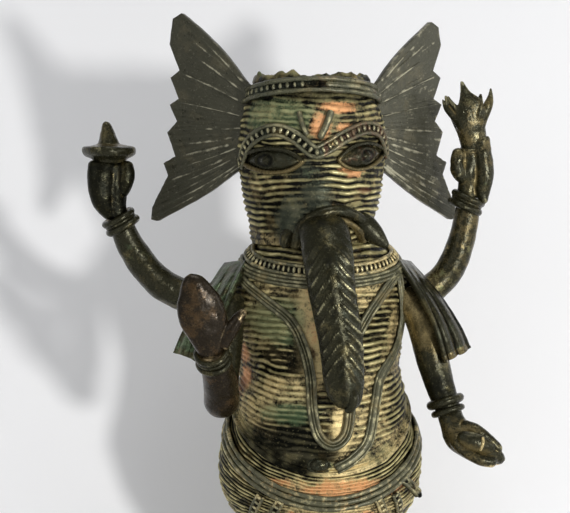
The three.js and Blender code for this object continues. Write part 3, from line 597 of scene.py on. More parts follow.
def threads(p, arc, level, pitch, seed, extra=8):
    # Wound wax threads: their rounded height, and a number for each thread's own unevenness.
    phase = level / pitch + 0.75 * grain(p, 17, seed) + 0.32 * grain(p, 6, seed + 1)
    phase += 0.06 * grain(p, 2, seed + 3)
    dice = np.random.default_rng(seed)
    for _ in range(extra):  # short threads laid in between two others
        start, height = dice.uniform(arc.min(), arc.max()), dice.uniform(level.min(), level.max())
        up, past = level - height, arc - start
        reach = dice.uniform(7, 15)
        phase += (np.arctan2(up, past) - np.arctan2(up, past - reach)) / turn
    count = np.floor(phase)
    share = 2 * (phase - count) - 1
    own = grain(np.stack([p[:, 0] / 5, p[:, 1] / 5, count * 1.73], 1), 1, seed + 2)
    own += 0.5 * grain(np.stack([p[:, 0] / 1.7, p[:, 1] / 1.7, count * 2.31], 1), 1, seed + 4)
    rise = (0.5 + 0.5 * np.cos(math.pi * share)) ** 0.7
    return rise, own


torso = bodyShape(torsoX, [
    (neck - 71, 28, 24.6, 18), (neck - 60, 28.2, 25.6, 18), (neck - 50, 27, 24.2, 16.8),
    (neck - 39, 24.2, 20.8, 15.2), (neck - 30, 24.6, 18.8, 14.8), (neck - 19, 26, 17.8, 15.4),
    (neck - 10, 25.4, 17, 15.6), (neck - 5, 23.4, 16.4, 15.2), (neck - 2, 20.6, 15.6, 14.4),
    (neck, 18, 14.8, 13.6), (neck + 2, 17, 14.2, 13)])
hips = bodyShape(hipX, [
    (hipBottom, 19.5, 14, 14), (hipBottom + 4.6, 22.5, 19.5, 18.5), (hipBottom + 12.4, 27.6, 24.4, 23),
    (hipBottom + 19.3, 30, 25, 25), (hipBottom + 26.7, 30.4, 24.2, 24.5), (hipBottom + 34, 28.6, 23.3, 22),
    (hipBottom + 40.5, 26, 22.6, 18.6), (hipTop + 1, 24, 22, 16)])
headLow = boxOf("head_shell")[0][2]
headTall = headTop - headLow
head = bodyShape(headX, [
    (headLow - 1, 18, 16, 15.4), (headLow, 18.2, 16.2, 15.6), (headLow + 0.12 * headTall, 18.8, 17.2, 16.6),
    (headLow + 0.32 * headTall, 20.7, 19, 18.6), (headLow + 0.5 * headTall, 21.8, 20.2, 20),
    (headLow + 0.66 * headTall, 21.9, 20.2, 20), (headLow + 0.8 * headTall, 21, 19.6, 19.4),
    (headLow + 0.9 * headTall, 19.4, 18.4, 18.2), (headTop, 18, 17, 17), (headTop + 1, 17.8, 16.8, 16.8)])

# Patches are x from the body's middle, height above the neck, half width, half height, strength.
# The threads are worn flat in the plain ones.
torsoLook = {
    "pitch": 1.8, "depth": 0.62, "sides": 232, "rows": 290, "lip": 0.85, "plainBand": 4.5, "levelFrom": 80,
    "plain": [(-4.4, -23, 5, 17, 1), (3.6, -53, 3.6, 7, 1), (-12, -59, 11, 6.6, 0.8),
        (21.5, -30, 2, 9, 0.7), (10, -8, 6, 5, 0.5), (-23.6, -37, 3, 6, 0.7), (4, -30, 5, 20, 0.8)],
    "tan": [(-4, -24, 5.5, 17, 1.25), (3.8, -53, 3.6, 8, 0.95), (-14, -42, 12, 5, 0.68),
        (-17, -24, 9, 12, 0.72), (-20, -48, 7, 7, 0.72), (22, -28, 4, 12, 0.8), (12, -48, 8, 14, 0.66),
        (22, -62, 10, 10, 0.66), (12, -12, 10, 8, 0.66), (-10, -11, 16, 5.5, 0.66),
        (-8, -69.4, 26, 3, 0.85), (6, -65, 13, 3, 0.85), (-20, -16, 6, 7, 0.6), (6, -60, 9, 6, 0.6),
        (16, -34, 6, 12, 0.5), (14, -70, 16, 5, 0.6), (-25, -56, 3, 8, 0.6)],
    "salmon": [(-26.4, -33, 3.6, 4, 1.5), (-25.2, -38.6, 3.2, 3, 1.4), (-27, -43, 2.6, 3, 1.3),
        (-4.6, -22, 3, 12, 0.62), (12, -70, 14, 3.4, 0.55), (21, -64, 6, 4, 0.5)],
    "soot": [(-12.6, -58.6, 12.6, 6.8, 1.55), (-11, -32, 7.6, 5.2, 1.1), (13.6, -25, 5, 6, 0.62),
        (-9, -62, 9, 4.4, 1.1), (24, -60, 3, 5, 0.5), (-17, -24, 5, 5, 0.5), (-15, -51, 7, 3, 0.7)],
    "verdigris": [(-13.8, -22, 9, 7, 1), (-11.4, -48.4, 8, 3, 1), (-10, -44, 7, 3, 0.5),
        (0, -64, 6, 2, 0.6), (-18, -27, 5, 4, 0.5)],
    "rust": [(-24.4, -41, 1.3, 2.4, 1.4), (-25.4, -35, 0.9, 1.6, 1.2), (18, -66, 8, 4, 0.4)],
}
headLook = {
    "pitch": 1.8, "depth": 0.62, "sides": 200, "rows": 200,
    "plain": [(2.2, 37, 4.6, 4.6, 1), (-8, 7, 5.2, 9, 1), (-0.4, 13.6, 5.4, 4, 1), (-1, 21, 3, 3, 0.6),
        (15, 26, 7, 5, 0.7), (-15, 25, 8, 4, 0.7), (-9, 39, 13, 4, 0.3), (15, 39, 7, 4, 0.4),
        (-14, 15, 5, 4, 0.3), (2, 28, 8, 3, 0.8), (16, 38, 5, 3, 0.3), (0.6, 44, 19, 3, 0.9)],
    "tan": [(15.4, 38.5, 6, 4.4, 0.5), (-12, 38.5, 11, 5, 0.6), (15, 20, 7, 4, 0.4),
        (-16, 18, 5, 5, 0.5), (-12, 20, 5, 2, 0.4), (10, 5, 9, 6, 0.5), (-15, 1, 7, 4, 0.55),
        (4, 3, 20, 3, 0.5), (-16, 14, 5, 8, 0.4)],
    "salmon": [(5.8, 40.8, 5.4, 1.9, 0.98), (0.4, 35.4, 3, 3.6, 1.1), (7.4, 34.6, 2.8, 2, 0.85),
        (10.2, 22.4, 4, 2.2, 1)],
    "soot": [(-8, 7, 6, 9, 0.5), (-0.6, 15, 6, 6, 0.3), (-12, 10, 6, 8, 0.6), (-15, 24, 8, 4, 0.5),
        (4, 44, 16, 2.4, 0.6), (14, 29, 6, 3, 0.5)],
    "slate": [(-7, 8, 5, 8, 1), (-0.6, 15, 5, 5, 1), (-4, 22, 5, 4, 0.7), (6, 18, 6, 4, 0.5)],
    "verdigris": [(-12, 38, 10, 5, 1.05), (-15, 34, 4, 3, 0.5), (-2, 20, 4, 4, 0.4)],
    "rust": [(13.8, 16.4, 3, 1.2, 0.9), (16, 12, 3, 1, 0.5)],
}
hipLook = {
    "pitch": 1.75, "depth": 0.6, "sides": 216, "rows": 180,
    "plain": [(0, -76, 13, 4, 0.55), (0, -86, 13, 6, 0.6)],
    "tan": [(2, -70, 20, 4, 0.8), (0, -78, 20, 6, 0.7), (0, -87, 14, 6, 0.6), (-24, -66, 3, 4, 0.75),
        (20, -78, 7, 7, 0.6), (-14, -74, 8, 4, 0.5)],
    "salmon": [(6, -70.8, 20, 3, 0.85), (-10.7, -79.4, 3, 2, 1), (11, -79.4, 3, 2, 1),
        (-16, -69, 6, 2, 0.6), (2, -82, 12, 4, 0.7)],
    "soot": [(-26, -70, 7, 14, 0.75), (28, -66, 5, 10, 0.5)],
    "verdigris": [(-24, -56, 4, 8, 0.35)],
    "rust": [(2, -84, 4, 3, 0.3), (0, -75, 18, 5, 0.42)],
}


strayStains = {"tan": 0.7, "salmon": 0.3, "soot": 0.3, "verdigris": 0.7, "rust": 0.3, "slate": 0}


def within(patches, x, z):
    value = np.zeros(len(x))
    for patch in patches:
        value = np.maximum(value, spot(x, z, patch))
    return value


def paints(look, x, z, p, front):
    # Patches show in front, and stray stains everywhere.
    mask = np.clip(front * 3, 0, 1)
    paint = {}
    for k, (key, strength) in enumerate(strayStains.items()):
        value = within(look.get(key, []), x, z)
        stray = np.clip(grain(p, 9, 40 + k) * 1.3 - 0.62, 0, 1) * strength
        paint[key] = np.maximum(value * mask, stray * (1 - 0.5 * mask))
    return paint


meanRadius = 22  # turns an angle round a body into millimetres of thread


def woundBody(name, body, look, lowAt, highAt, levelAt, shapeLift, seed):
    sides, rows = look["sides"], look["rows"]
    ring = np.arange(sides) * turn / sides
    low, high = lowAt(ring), highAt(ring)

    def place(i, j):
        k = i % sides
        a = ring[k]
        share = np.clip((j - 2) / (rows - 4), 0, 1)
        z = low[k] + (high[k] - low[k]) * share
        p, out = onBody(body, a, z)
        arc = (a - turn * (a > math.pi)) * meanRadius
        x, up = p[:, 0] - body["x"], z - neck
        front = -np.sin(a)
        more, keep = shapeLift(a, x, up, z - low[k])
        rise, own = threads(p, arc, levelAt(z, low[k], high[k]), look["pitch"], seed)
        plain = within(look["plain"], x, up) * np.clip(front * 3, 0, 1)
        size = (1 - 0.9 * plain) * keep
        size *= np.clip(0.9 + 0.95 * own, 0.05, 1.3)
        lift = more + (rise * size - 0.5) * look["depth"] + 0.05 * grain(p, 1.1, seed + 5)
        p = p + out * lift[:, None]
        # The last rows turn in over each end and meet at its middle.
        inner = np.where((j == 1) | (j == rows - 1), 0.9, 1.0)
        inner = np.where((j == 0) | (j == rows), 0.0, inner)
        centre = np.stack([np.full(len(a), body["x"]), 0 * a, z], 1)
        centre[j == 0, 2] = low.mean() + 1
        centre[j == rows, 2] = high.mean()
        p = centre + (p - centre) * inner[:, None]
        flatTone = 0.52 + 0.2 * grain(p, 2.4, seed + 6)
        relief = rise * np.clip(size, 0, 1.1) + (1 - np.clip(size / 0.5, 0, 1)) * flatTone
        return p, {"relief": relief, **paints(look, x, up, p, front)}
    return shaped(name, sides, rows, place)


def torsoLift(a, x, up, above):
    lip = torsoLook["lip"] * np.sqrt(np.clip(1 - ((above - 0.9) / 0.9) ** 2, 0, 1))
    lip += 0.4 * np.sqrt(np.clip(1 - ((above - 2.6) / 0.6) ** 2, 0, 1))
    band = np.clip((above - torsoLook["plainBand"]) / 3, 0, 1)  # below it, only fine scratches
    fine = 0.12 * np.sin(above * 5.2) * (1 - band)
    keep = np.clip(band + 0.08, 0, 1)
    return lip + fine, keep


def torsoLevel(z, low, high):
    # Threads near the lip follow its dip a little.
    follow = 0.4 * np.clip(1 - (z - low) / 27, 0, 1) ** 1.3
    return z - (low - torsoLook["levelFrom"]) * follow


def bump(x, up, at, wide, tall):
    return np.exp(-((x - at[0]) / wide) ** 2 - ((up - at[1]) / tall) ** 2)


def headLift(a, x, up, above):
    nose = 1.5 * bump(x, up, (-0.6, 15), 4.2, 6)
    cheek = 1.2 * bump(x, up, (-8, 5), 4, 6)
    sockets = 0.7 * (bump(x, up, (-12.6, 25), 6, 4) + bump(x, up, (12.6, 25), 6, 4))
    return (nose + cheek - sockets) * (np.sin(a) < 0), np.clip((above - 0.4) / 1.5, 0, 1)


def hipLift(a, x, up, above):
    return 0 * above, np.clip(above / 2, 0, 1)


def hipLevel(z, low, high):
    # Level at the bottom, and along the waist line near it.
    return z + (high.max() - high) * ((z - low) / (high - low)) ** 0.8


def level(height):
    return lambda a: np.full(len(a), float(height))


finished(woundBody("torsoWound", torso, torsoLook, lambda a: waistOn(torso, a) + 0.1,
                   level(neck - 0.02), torsoLevel, torsoLift, 11), "torso_shell", "body")
finished(woundBody("headWound", head, headLook, level(headLow - 0.2), level(headTop),
                   lambda z, low, high: z, headLift, 23), "head_shell", "body")
finished(woundBody("hipsWound", hips, hipLook, level(hipBottom), lambda a: waistOn(hips, a) - 0.15,
                   hipLevel, hipLift, 37), "hip_shell", "body")
print("bodies wound")


# Cords and ladders that lie on the bodies
def onFront(body, places, count, lift):
    # Places are x from the body's middle and height above the neck.
    line = smoothLine([(x, z, 0) for x, z in places], count)
    z = neck + line[:, 1]
    return onBody(body, frontAngle(body, body["x"] + line[:, 0], z), z, lift)


def roundBody(body, heightAt, count, lift):
    angle = np.arange(count + 1) * turn / count
    angle[-1] = 0
    return onBody(body, angle, heightAt(angle), lift)


def strands(name, points, out, lines, closed=False, sides=10):
    # Each line is its offset sideways, radius and flatness.
    side = np.cross(waysAlong(points, closed), out)
    return [tube(name + "Strand", points + side * shift, radius, out, sides, flat, closed)
            for shift, radius, flat in lines]


def ladder(name, points, out, look, closed=False):
    # Two rails on a strap, with rungs or beads between them.
    ways = waysAlong(points, closed)
    half = look["width"] / 2 - look["rail"]
    rails = strands(name, points, out, [(half, look["rail"], 1.1), (-half, look["rail"], 1.1)], closed)
    strap = painted(strands(name, points, out, [(0, half, look["strap"] / half)], closed)[0],
                    lambda p: {"relief": 0.08})
    run = runOf(points)
    count = int(run[-1] / look["step"])
    at = (np.arange(count) + 0.5) * run[-1] / count
    frames = framesAlong(*[valuesAt(run, at, values) for values in (points, ways, out)])
    if "beadsTo" in look:  # beads only as far as here; beyond it they are worn away
        frames = [f for f in frames if f.translation.x < look["beadsTo"] * mm or f.translation.y > 0]
    rung = lump("rung", (0, 0, look["rise"]), (look["rung"], half * look.get("reach", 1), look["rung"] * 0.9),
                segments=8)
    bars = copies(rung, frames)
    if "tone" in look:
        for part in rails + bars:
            painted(part, look["tone"])
    return joined(name, rails + bars + [strap])


girdleLook = {"drop": 3.6, "height": 4.6, "sag": 1.6}


def girdleHeight(angle):
    below = girdleLook["drop"] + girdleLook["height"] / 2
    below = below + girdleLook["sag"] * np.maximum(0, -np.sin(angle))
    return waistOn(hips, angle, below)


points, out = roundBody(hips, girdleHeight, 260, 0.8)
girdleLines = [(1.6, 0.75, 1), (0, 0.85, 1), (-1.6, 0.75, 1)]
girdle = joined("waistGirdle", strands("girdle", points, out, girdleLines, True))
painted(girdle, lambda p: {"tan": 0.36 + 0.2 * grain(p, 7, 5), "salmon": 0.3 * (p[:, 1] < -12)})
finished(roughened(girdle, [(4, 0.16), (1.4, 0.1)], 6), "waist_girdle", "cord")

collarLook = {
    "width": 4, "rail": 0.6, "strap": 0.35, "step": 1.55, "rung": 0.48, "rise": 0.32, "reach": 0.85,
    "sag": 5.6,
    "tone": lambda p: {"tan": 0.5 + 0.2 * (p[:, 0] > 0)},
}


def collarHeight(drop):
    return lambda angle: neck - drop + 0.8 - collarLook["sag"] * np.maximum(0, -np.sin(angle))


points, out = roundBody(torso, collarHeight(2.6), 220, 0.75)
band = ladder("collarBand", points, out, collarLook, True)
finished(roughened(band, [(3, 0.14), (1.2, 0.06)], 4), "collar_band", "cord")
points, out = roundBody(torso, collarHeight(6), 220, 0.6)
collarLines = [(1.1, 0.62, 1.1), (0, 0.62, 1.1), (-1.1, 0.62, 1.1)]
finished(joined("collarCord", strands("collarCord", points, out, collarLines, True)),
         "collar_cord", "cord")

malaPlaces = [(-24.2, -9.6), (-21.8, -12.4), (-17, -16.4), (-10.5, -22), (-7, -29.5), (-5.2, -38),
              (-5, -47), (-3.4, -54.5), (0.6, -57.4), (4.6, -54.5), (6, -47), (5.8, -38),
              (7.4, -29.5), (11.5, -21.5), (16.2, -15), (21.6, -8.6)]
malaLines = [(0.98, 0.66, 1.3), (0, 0.42, 1.6), (-0.98, 0.66, 1.3)]
points, out = onFront(torso, malaPlaces, 240, 0.5)
finished(joined("longNecklace", strands("mala", points, out, malaLines)),
         "long_necklace", "cord")
threadPlaces = [(22, -7), (22.8, -12), (23.4, -18), (23.2, -24), (21, -31.5), (15.8, -39),
                (13.8, -46), (11.2, -56.5), (6.5, -61.6), (1.5, -64.4)]
threadLines = [(1.3, 0.42, 1.3), (0, 1.05, 0.75), (-1.3, 0.42, 1.3)]
points, out = onFront(torso, threadPlaces, 200, 0.45)
finished(joined("sacredThread", strands("thread", points, out, threadLines)),
         "sacred_thread", "cord")
navel = onFront(torso, [(-3.1, -63.2), (-3, -63.2)], 2, 0)[0][0]
boss = joined("navelBoss", [lump("navel", navel + (0, 0.4, 0), (3, 2, 2.2)),
                            lump("navelRim", navel + (0, 0.9, -0.3), (3.8, 1.5, 2.9))])
setPaint(boss, {"relief": 0.55, "slate": 0.6, "soot": 0.4})
finished(roughened(boss, [(3, 0.15)]), "navel_boss", "dark")

apronLook = {
    "width": 3, "rail": 0.5, "strap": 0.45, "step": 1.7, "rung": 0.5, "rise": 0.35,
    "spread": (0.64, 0.7, 0.7, 0.61), "drop": (0, 0.3, 0.65, 1), "inner": (0.72, 0.76, 0.78, 0.76),
}
girdleFoot = girdleLook["height"] / 2
for side, word in ((-1, "right"), (1, "left")):
    top = girdleHeight(np.array([-math.acos(apronLook["spread"][0])]))[0] - girdleFoot - 1.4 - neck
    foot = hipBottom + 2.6 - neck
    places = [(side * 30.4 * wide, top + (foot - top) * down)
              for wide, down in zip(apronLook["spread"], apronLook["drop"])]
    inward = [(x * share, z - 0.9) for (x, z), share in zip(places, apronLook["inner"])]
    borders = []
    for line, lift in ((places, 0.5), (inward, 0.4)):
        points, out = onFront(hips, line, 60, lift)
        borders.append(ladder(word + "ApronBorder", points, out, apronLook))
    border = setPaint(joined(word + "ApronBorder", borders), {"tan": 0.5})
    finished(border, word + "_apron_border", "cord")
    height = hipBottom + 11.5 - neck
    centre, ways = onFront(hips, [(side * 10.9, height), (side * 11, height)], 2, 0.4)
    seat = framesAlong(centre[:1], np.array([[1, 0, 0.0]]), ways[:1])[0]
    petal = lump("petal", (1.5, 0, 0), (0.95, 0.7, 0.7), segments=12)
    flower = copies(petal, [seat @ Matrix.Rotation(k * turn / 6, 4, "Z") for k in range(6)])
    flower += copies(lump("heart", (0, 0, 0.3), (0.9, 0.9, 0.8), segments=12), [seat])
    finished(joined(word + "Rosette", flower), word + "_rosette", "body")

knotAngle = np.array([math.radians(-36)])
knotZ = girdleHeight(knotAngle) - girdleFoot - 4.2
knotAt, knotOut = [v[0] for v in onBody(hips, knotAngle, knotZ, 1.3)]
ends = np.array([knotAt + (-2.9, -0.6, 2.4), knotAt, knotAt + (2.6, 0.7, -2.9)])
bar = smoothLine(ends, 24)
knotLines = [(0.85, 0.8, 1.1), (-0.85, 0.8, 1.1)]
knotParts = strands("knot", bar, np.broadcast_to(knotOut, bar.shape), knotLines)
for share in (0.1, 0.5, 0.9):
    at = bar[int(share * (len(bar) - 1))]
    knotParts.append(lump("wrap", at, (1.1, 1.3, 1.9), (0, -40, 0), 12))
finished(joined("girdleKnot", knotParts), "girdle_knot", "cord")
print("cords laid")


# Crown and face
crownLook = {
    "beadsTo": headX - 3, "width": 5, "rail": 0.8, "strap": 0.35, "step": 2.2,
    "rung": 0.6, "rise": 0.25, "reach": 0.62, "drop": 1.2, "frontLift": 3.6,
}


def crownHeight(angle):
    # The middle of the band, higher in front.
    middle = headTop - crownLook["drop"] - crownLook["width"] / 2
    return middle + crownLook["frontLift"] * np.maximum(0, -np.sin(angle))


points, out = roundBody(head, crownHeight, 220, 0.75)
band = ladder("crownBand", points, out, crownLook, True)
smooth = np.arange(-84, -8) * turn / 360
worn, wornOut = onBody(head, smooth, crownHeight(smooth), 0.95)
band = joined("crownBand", [band] + strands("wornBand", worn, wornOut, [(0, 0.95, 0.5)]))
painted(band, lambda p: {"rust": 0.42 * (p[:, 0] > headX) * (p[:, 1] < 0),
                         "slate": 0.55 + 0.2 * grain(p, 6, 87)})
finished(roughened(band, [(3, 0.16), (1.2, 0.08)]), "crown_band", "cord")
browPlaces = [(-21.2, 23.5), (-19.6, 29.4), (-16, 33), (-11.6, 34), (-7, 32), (-1.9, 27.9),
              (1, 28.4), (7, 32), (13.6, 34.6), (18.6, 33), (21.2, 26.6)]
browLook = {"width": 4.2, "rail": 0.66, "strap": 0.3, "step": 2.05, "rung": 0.62, "rise": 0.35, "reach": 0.78}
points, out = onFront(head, browPlaces, 150, 0.7)
band = painted(ladder("browBand", points, out, browLook),
               lambda p: {"rust": 0.6 * (p[:, 0] > headX + 1), "slate": 0.5 + 0.2 * grain(p, 6, 88)})
finished(roughened(band, [(3, 0.14), (1.2, 0.06)], 3), "brow_band", "cord")

# Each knob is its angle, height and width.
crownKnobs = [(-132, 2.2, 1.6), (-116, 2.6, 1.5), (-84, 1.2, 3), (-66, 1.5, 2.2), (-50, 2.4, 1.7), (20, 2, 2),
              (70, 1.8, 2.4), (110, 2.2, 1.8), (150, 1.6, 2.2), (190, 2, 2)]
# From the middle of the top to the rim and under it: how far out, as a share, and how high.
crownProfile = np.array([(0, 1.4), (0.3, 1.5), (0.6, 1.6), (0.78, 2), (0.86, 2.5), (0.9, 2.7), (0.94, 2.5),
                         (0.97, 1.8), (0.98, 0.8), (0.96, -0.4), (0.8, -0.5), (0, -0.5)])
capLook = {"sides": 144, "rows": 44, "wide": 18, "deep": 17}


def crownPlace(i, j):
    a = (i % capLook["sides"]) * turn / capLook["sides"]
    steps = np.arange(len(crownProfile))
    out, rise = valuesAt(steps, j / capLook["rows"] * steps[-1], crownProfile).T
    across, ahead = capLook["wide"] * out * np.cos(a), capLook["deep"] * out * np.sin(a)
    p = np.stack([headX + across, ahead, headTop + rise], 1)
    degrees = np.degrees(a) - 360 * (a > math.pi)
    rim = np.exp(-((out - 0.9) / 0.08) ** 2) * (rise > 0.5)
    for at, tall, wide in crownKnobs:
        away = (degrees - at + 180) % 360 - 180
        p[:, 2] += rim * (tall - 0.9) * np.exp(-(away / (wide * 3.4)) ** 2)
    p[:, 2] += rim * (0.5 * grain(p, 2.2, 61) + 0.35 * grain(p, 1, 63))
    return p, {"relief": 0.3 + 0.25 * rim + 0.2 * grain(p, 2, 62), "verdigris": 0.5 * rim}


cap = shaped("crownCap", capLook["sides"], capLook["rows"], crownPlace)
finished(roughened(cap, [(2.4, 0.25), (1, 0.1)], 5), "crown_cap", "body")


eyeLooks = {
    "right": {"x": -13.4, "z": 25.2, "wide": 8.4, "tall": 3.5, "slant": -0.02,
              "lid": 0.7, "ball": 1.5, "gaze": -1.6},
    "left": {"x": 13, "z": 26.4, "wide": 7.4, "tall": 3.7, "slant": 0.14,
             "lid": 0.6, "ball": 1.6, "gaze": 1},
}
ballLook = {"sides": 48, "rows": 20, "share": 0.96, "irisWide": 2.7, "irisTall": 2.5}


def almond(t):
    # Height of a pointed oval, from -1 to 1.
    return np.sign(np.sin(t)) * np.abs(np.sin(t)) ** 1.5


for word, look in eyeLooks.items():
    t = np.arange(91) / 90 * turn
    t[-1] = 0
    px, middle = look["x"] + look["wide"] * np.cos(t), neck + look["z"]
    pz = middle + look["tall"] * almond(t) + look["slant"] * look["wide"] * np.cos(t)
    points, out = onBody(head, frontAngle(head, headX + px, pz), pz, 0.35)
    lid = painted(tube("lid", points, look["lid"], out, 10, 1.2, True), lambda p: {
        "ochre": 1.1 * (p[:, 2] < middle), "relief": 0.5 + 0.3 * (p[:, 2] < middle)})

    def ballPlace(i, j, look=look, middle=middle):
        a, r = (i % ballLook["sides"]) * turn / ballLook["sides"], j / ballLook["rows"]
        px = look["x"] + look["wide"] * ballLook["share"] * r * np.cos(a)
        pz = middle + look["slant"] * (px - look["x"]) + look["tall"] * ballLook["share"] * r * almond(a)
        across, up = px - look["x"] - look["gaze"], pz - middle - look["gaze"] * look["slant"]
        away = np.hypot(across / ballLook["irisWide"], up / ballLook["irisTall"])
        rise = look["ball"] * (1 - r ** 2) + 0.7 * np.exp(-(away / 0.34) ** 2)
        rise += 0.4 * np.exp(-((away - 0.95) / 0.12) ** 2)
        p, out = onBody(head, frontAngle(head, headX + px, pz), pz, rise - 0.4)
        ring = np.exp(-((away - 0.95) / 0.14) ** 2)
        # The tip of the pupil's bump gets a high relief and shows pale: partly rubbed bare metal, partly a
        # painted highlight on the pupil.
        return p, {"relief": 0.5 + 0.4 * np.exp(-(away / 0.3) ** 2) + 0.24 * ring,
                   "soot": 1.3 * np.exp(-((away - 0.62) / 0.2) ** 2),
                   "slate": 0.5 * (away > 0.9) * (look["x"] < 0), "rust": 0.42 * (look["x"] > 0)}

    ball = shaped("eyeBall", ballLook["sides"], ballLook["rows"], ballPlace)
    finished(joined(word + "Eye", [lid, ball]), word + "_eye", "dark")

points, out = onFront(head, [(-5.8, 39.6), (-5, 36), (-3.6, 32.4)], 30, 0.6)
marks = strands("mark", points, out, [(0, 0.8, 1)])
points, out = onFront(head, [(3.4, 39.8), (2, 36), (-0.2, 31.4)], 30, 0.7)
marks += strands("mark", points, out, [(0, 1.1, 0.85)])
finished(joined("tilakaMark", marks), "tilaka_mark", "cord")

# Trunk, hood and tusks
trunkX = headX + 1.3
trunkPlaces = [
    (trunkX, -12, neck + 5.4, 4.4, 7.2), (trunkX, -16.5, neck + 5.6, 4.8, 7.4),
    (trunkX + 0.1, -21.8, neck + 3.4, 5, 7.4), (trunkX + 0.5, -26.2, neck - 2.6, 5.1, 7.4),
    (trunkX + 1.3, -28.4, neck - 12, 4.8, 6.9), (trunkX + 3.8, -29.2, neck - 27, 4.4, 6.4),
    (trunkX + 4.6, -30, neck - 38, 3.8, 5.9),
    (trunkX + 5, -30.6, neck - 43, 3, 4.8), (trunkX + 4.4, -30.8, neck - 46.2, 2.2, 3.4)]
trunkLook = {"half": 6.6, "pitch": 3.75, "slope": 1.35, "leftDepth": 0.95, "rightDepth": 0.68}


def trunkLift(a, run, p):
    # A spine down the front, and chevrons that climb to it from both sides.
    across = -np.cos(a) * trunkLook["half"]  # positive on the figure's left
    face = np.clip(np.sin(a) * 2.2 + 0.3, 0, 1)
    reach = np.clip((run - 13) / 8, 0, 1) * np.clip((58 - run) / 8, 0, 1)
    spine = 0.26 * np.exp(-(across / 1.7) ** 2) * face * np.clip((run - 9) / 10, 0, 1)
    phase = (run - trunkLook["slope"] * np.abs(across)) / trunkLook["pitch"] + 0.12 * grain(p, 6, 71)
    line = np.clip(np.cos(turn * phase), 0, 1) ** 1.7
    strong = np.where(across > 0, trunkLook["leftDepth"], trunkLook["rightDepth"])
    strong = strong * (1 + 0.4 * grain(p, 5, 72))
    edge = np.clip((np.abs(across) - 0.9) / 0.8, 0, 1) * np.clip((6.5 - np.abs(across)) / 1.2, 0, 1)
    chevron = line * strong * edge * face * reach
    return spine + chevron, {"relief": 0.48 + 0.85 * chevron + 0.08 * grain(p, 3, 74),
                             "ochre": 0.9 * np.clip((9 - run) / 3, 0, 1) * np.clip((run - 5) / 2, 0, 1),
                             "soot": 0.6 * np.exp(-((across + 1) / 2.6) ** 2),
                             "slate": 0.5 * (across > 1) * (1 - chevron)}


trunk = limb("trunkBody", trunkPlaces, 72, 190, (0, -1, 0.35), 2.4, 0.1, 70, trunkLift)
lipPlaces = [(trunkX + 5.4, -31.4, neck - 39, 0.9, 1), (trunkX + 7, -33, neck - 42, 1.4, 1.5),
             (trunkX + 6.4, -33, neck - 45.4, 1.1, 1.3), (trunkX + 4.6, -32, neck - 46.4, 0.8, 0.8)]
lip = limb("trunkLip", lipPlaces, 16, 30, (0, -1, 0), 1, 0.05, 73)
finished(joined("trunk", [trunk, lip]), "trunk", "dark")

hoodLook = {"middle": 4.6, "inner": 0.8, "drop": 2.6}
hoodPlaces = [(-6.4, -1), (-5.8, 3), (-4, 6.8), (-0.4, 9.6), (4.4, 10.8), (9.4, 9.8), (13.2, 6.9),
              (15, 3.4), (15.8, 0.6)]
points, out = onFront(head, hoodPlaces, 80, 1)
arch = painted(tube("hoodArch", points, 1.7, out, 18, 1.1),
               lambda p: {"relief": 0.52 + 0.1 * grain(p, 3, 66), "slate": 0.35})
innerPlaces = [(hoodLook["middle"] + (x - hoodLook["middle"]) * hoodLook["inner"], z - hoodLook["drop"])
               for x, z in hoodPlaces[1:-1]]
points, out = onFront(head, innerPlaces, 60, 1.6)
innerArch = painted(tube("hoodInner", points, 1.1, out, 14, 1.5),
                    lambda p: {"tan": 0.56 + 0.2 * grain(p, 3, 67), "ochre": 0.9})
hood = roughened(joined("trunkHood", [arch, innerArch]), [(4, 0.25), (1.5, 0.08)], 7)
finished(hood, "trunk_hood", "dark")

# Each place on a tusk is how far out and up from its root, and its two radii.
tuskPlaces = {
    "left": [(0, 3.2, 2.6, 2.8), (2.6, 1.6, 3.2, 3.6), (6, -1.4, 2.4, 2.8), (9.4, -4.6, 0.7, 0.8)],
    "right": [(-1, 1, 1.6, 1.8), (0, -0.6, 1.9, 2.2), (1.2, -2.8, 1.5, 1.8), (2, -4.6, 0.7, 0.8)],
}
for word, places in tuskPlaces.items():
    side = 1 if word == "left" else -1
    x, z = np.array([headX + 1.6 + side * 10]), np.array([neck + 4.2])
    root = onBody(head, frontAngle(head, x, z), z, 0)[0][0]
    run = [(root[0] + side * out, root[1] + 1.2 - k * 0.9, root[2] + up, deep, wide)
           for k, (out, up, deep, wide) in enumerate(places)]
    finished(limb(word + "Tusk", run, 28, 44, (0, -1, 0), 1, 0.12, 80), word + "_tusk", "dark")
print("face made")

# Ears
# The edge is how far out and how high; each vein is where on the edge it points, its start and its end.
earEdge = [(23.4, 59.8), (20.2, 51.8), (23.2, 49.6), (20.5, 43.2), (23.6, 41.4), (21.2, 36.4),
           (24.4, 33), (21.7, 25.8), (25.7, 23.6), (24.2, 20), (29.6, 10), (30, 6.4)]
earLooks = {
    "right": {"side": -1, "tip": 69, "tone": 0.5, "vein": 0.46, "soot": 0.4},
    "left": {"side": 1, "tip": 66.6, "tone": 0.66, "vein": 0.29, "soot": 0},
}
earVeins = [(0.035, 0.1, 0.7), (0.07, 0.35, 0.8), (0.13, 0.1, 0.75), (0.26, 0.15, 0.95), (0.41, 0.1, 0.98),
            (0.55, 0.1, 0.96), (0.63, 0.2, 0.85), (0.69, 0.25, 0.92), (0.76, 0.15, 0.8), (0.81, 0.3, 0.95),
            (0.86, 0.2, 0.98), (0.9, 0.35, 0.9), (0.945, 0.1, 0.97), (0.975, 0.05, 0.99)]
earBack = math.radians(35)  # how far the ears are swept back
earColumns, earPleats, earThick, veinRise = 52, 34, 1.9, 0.24
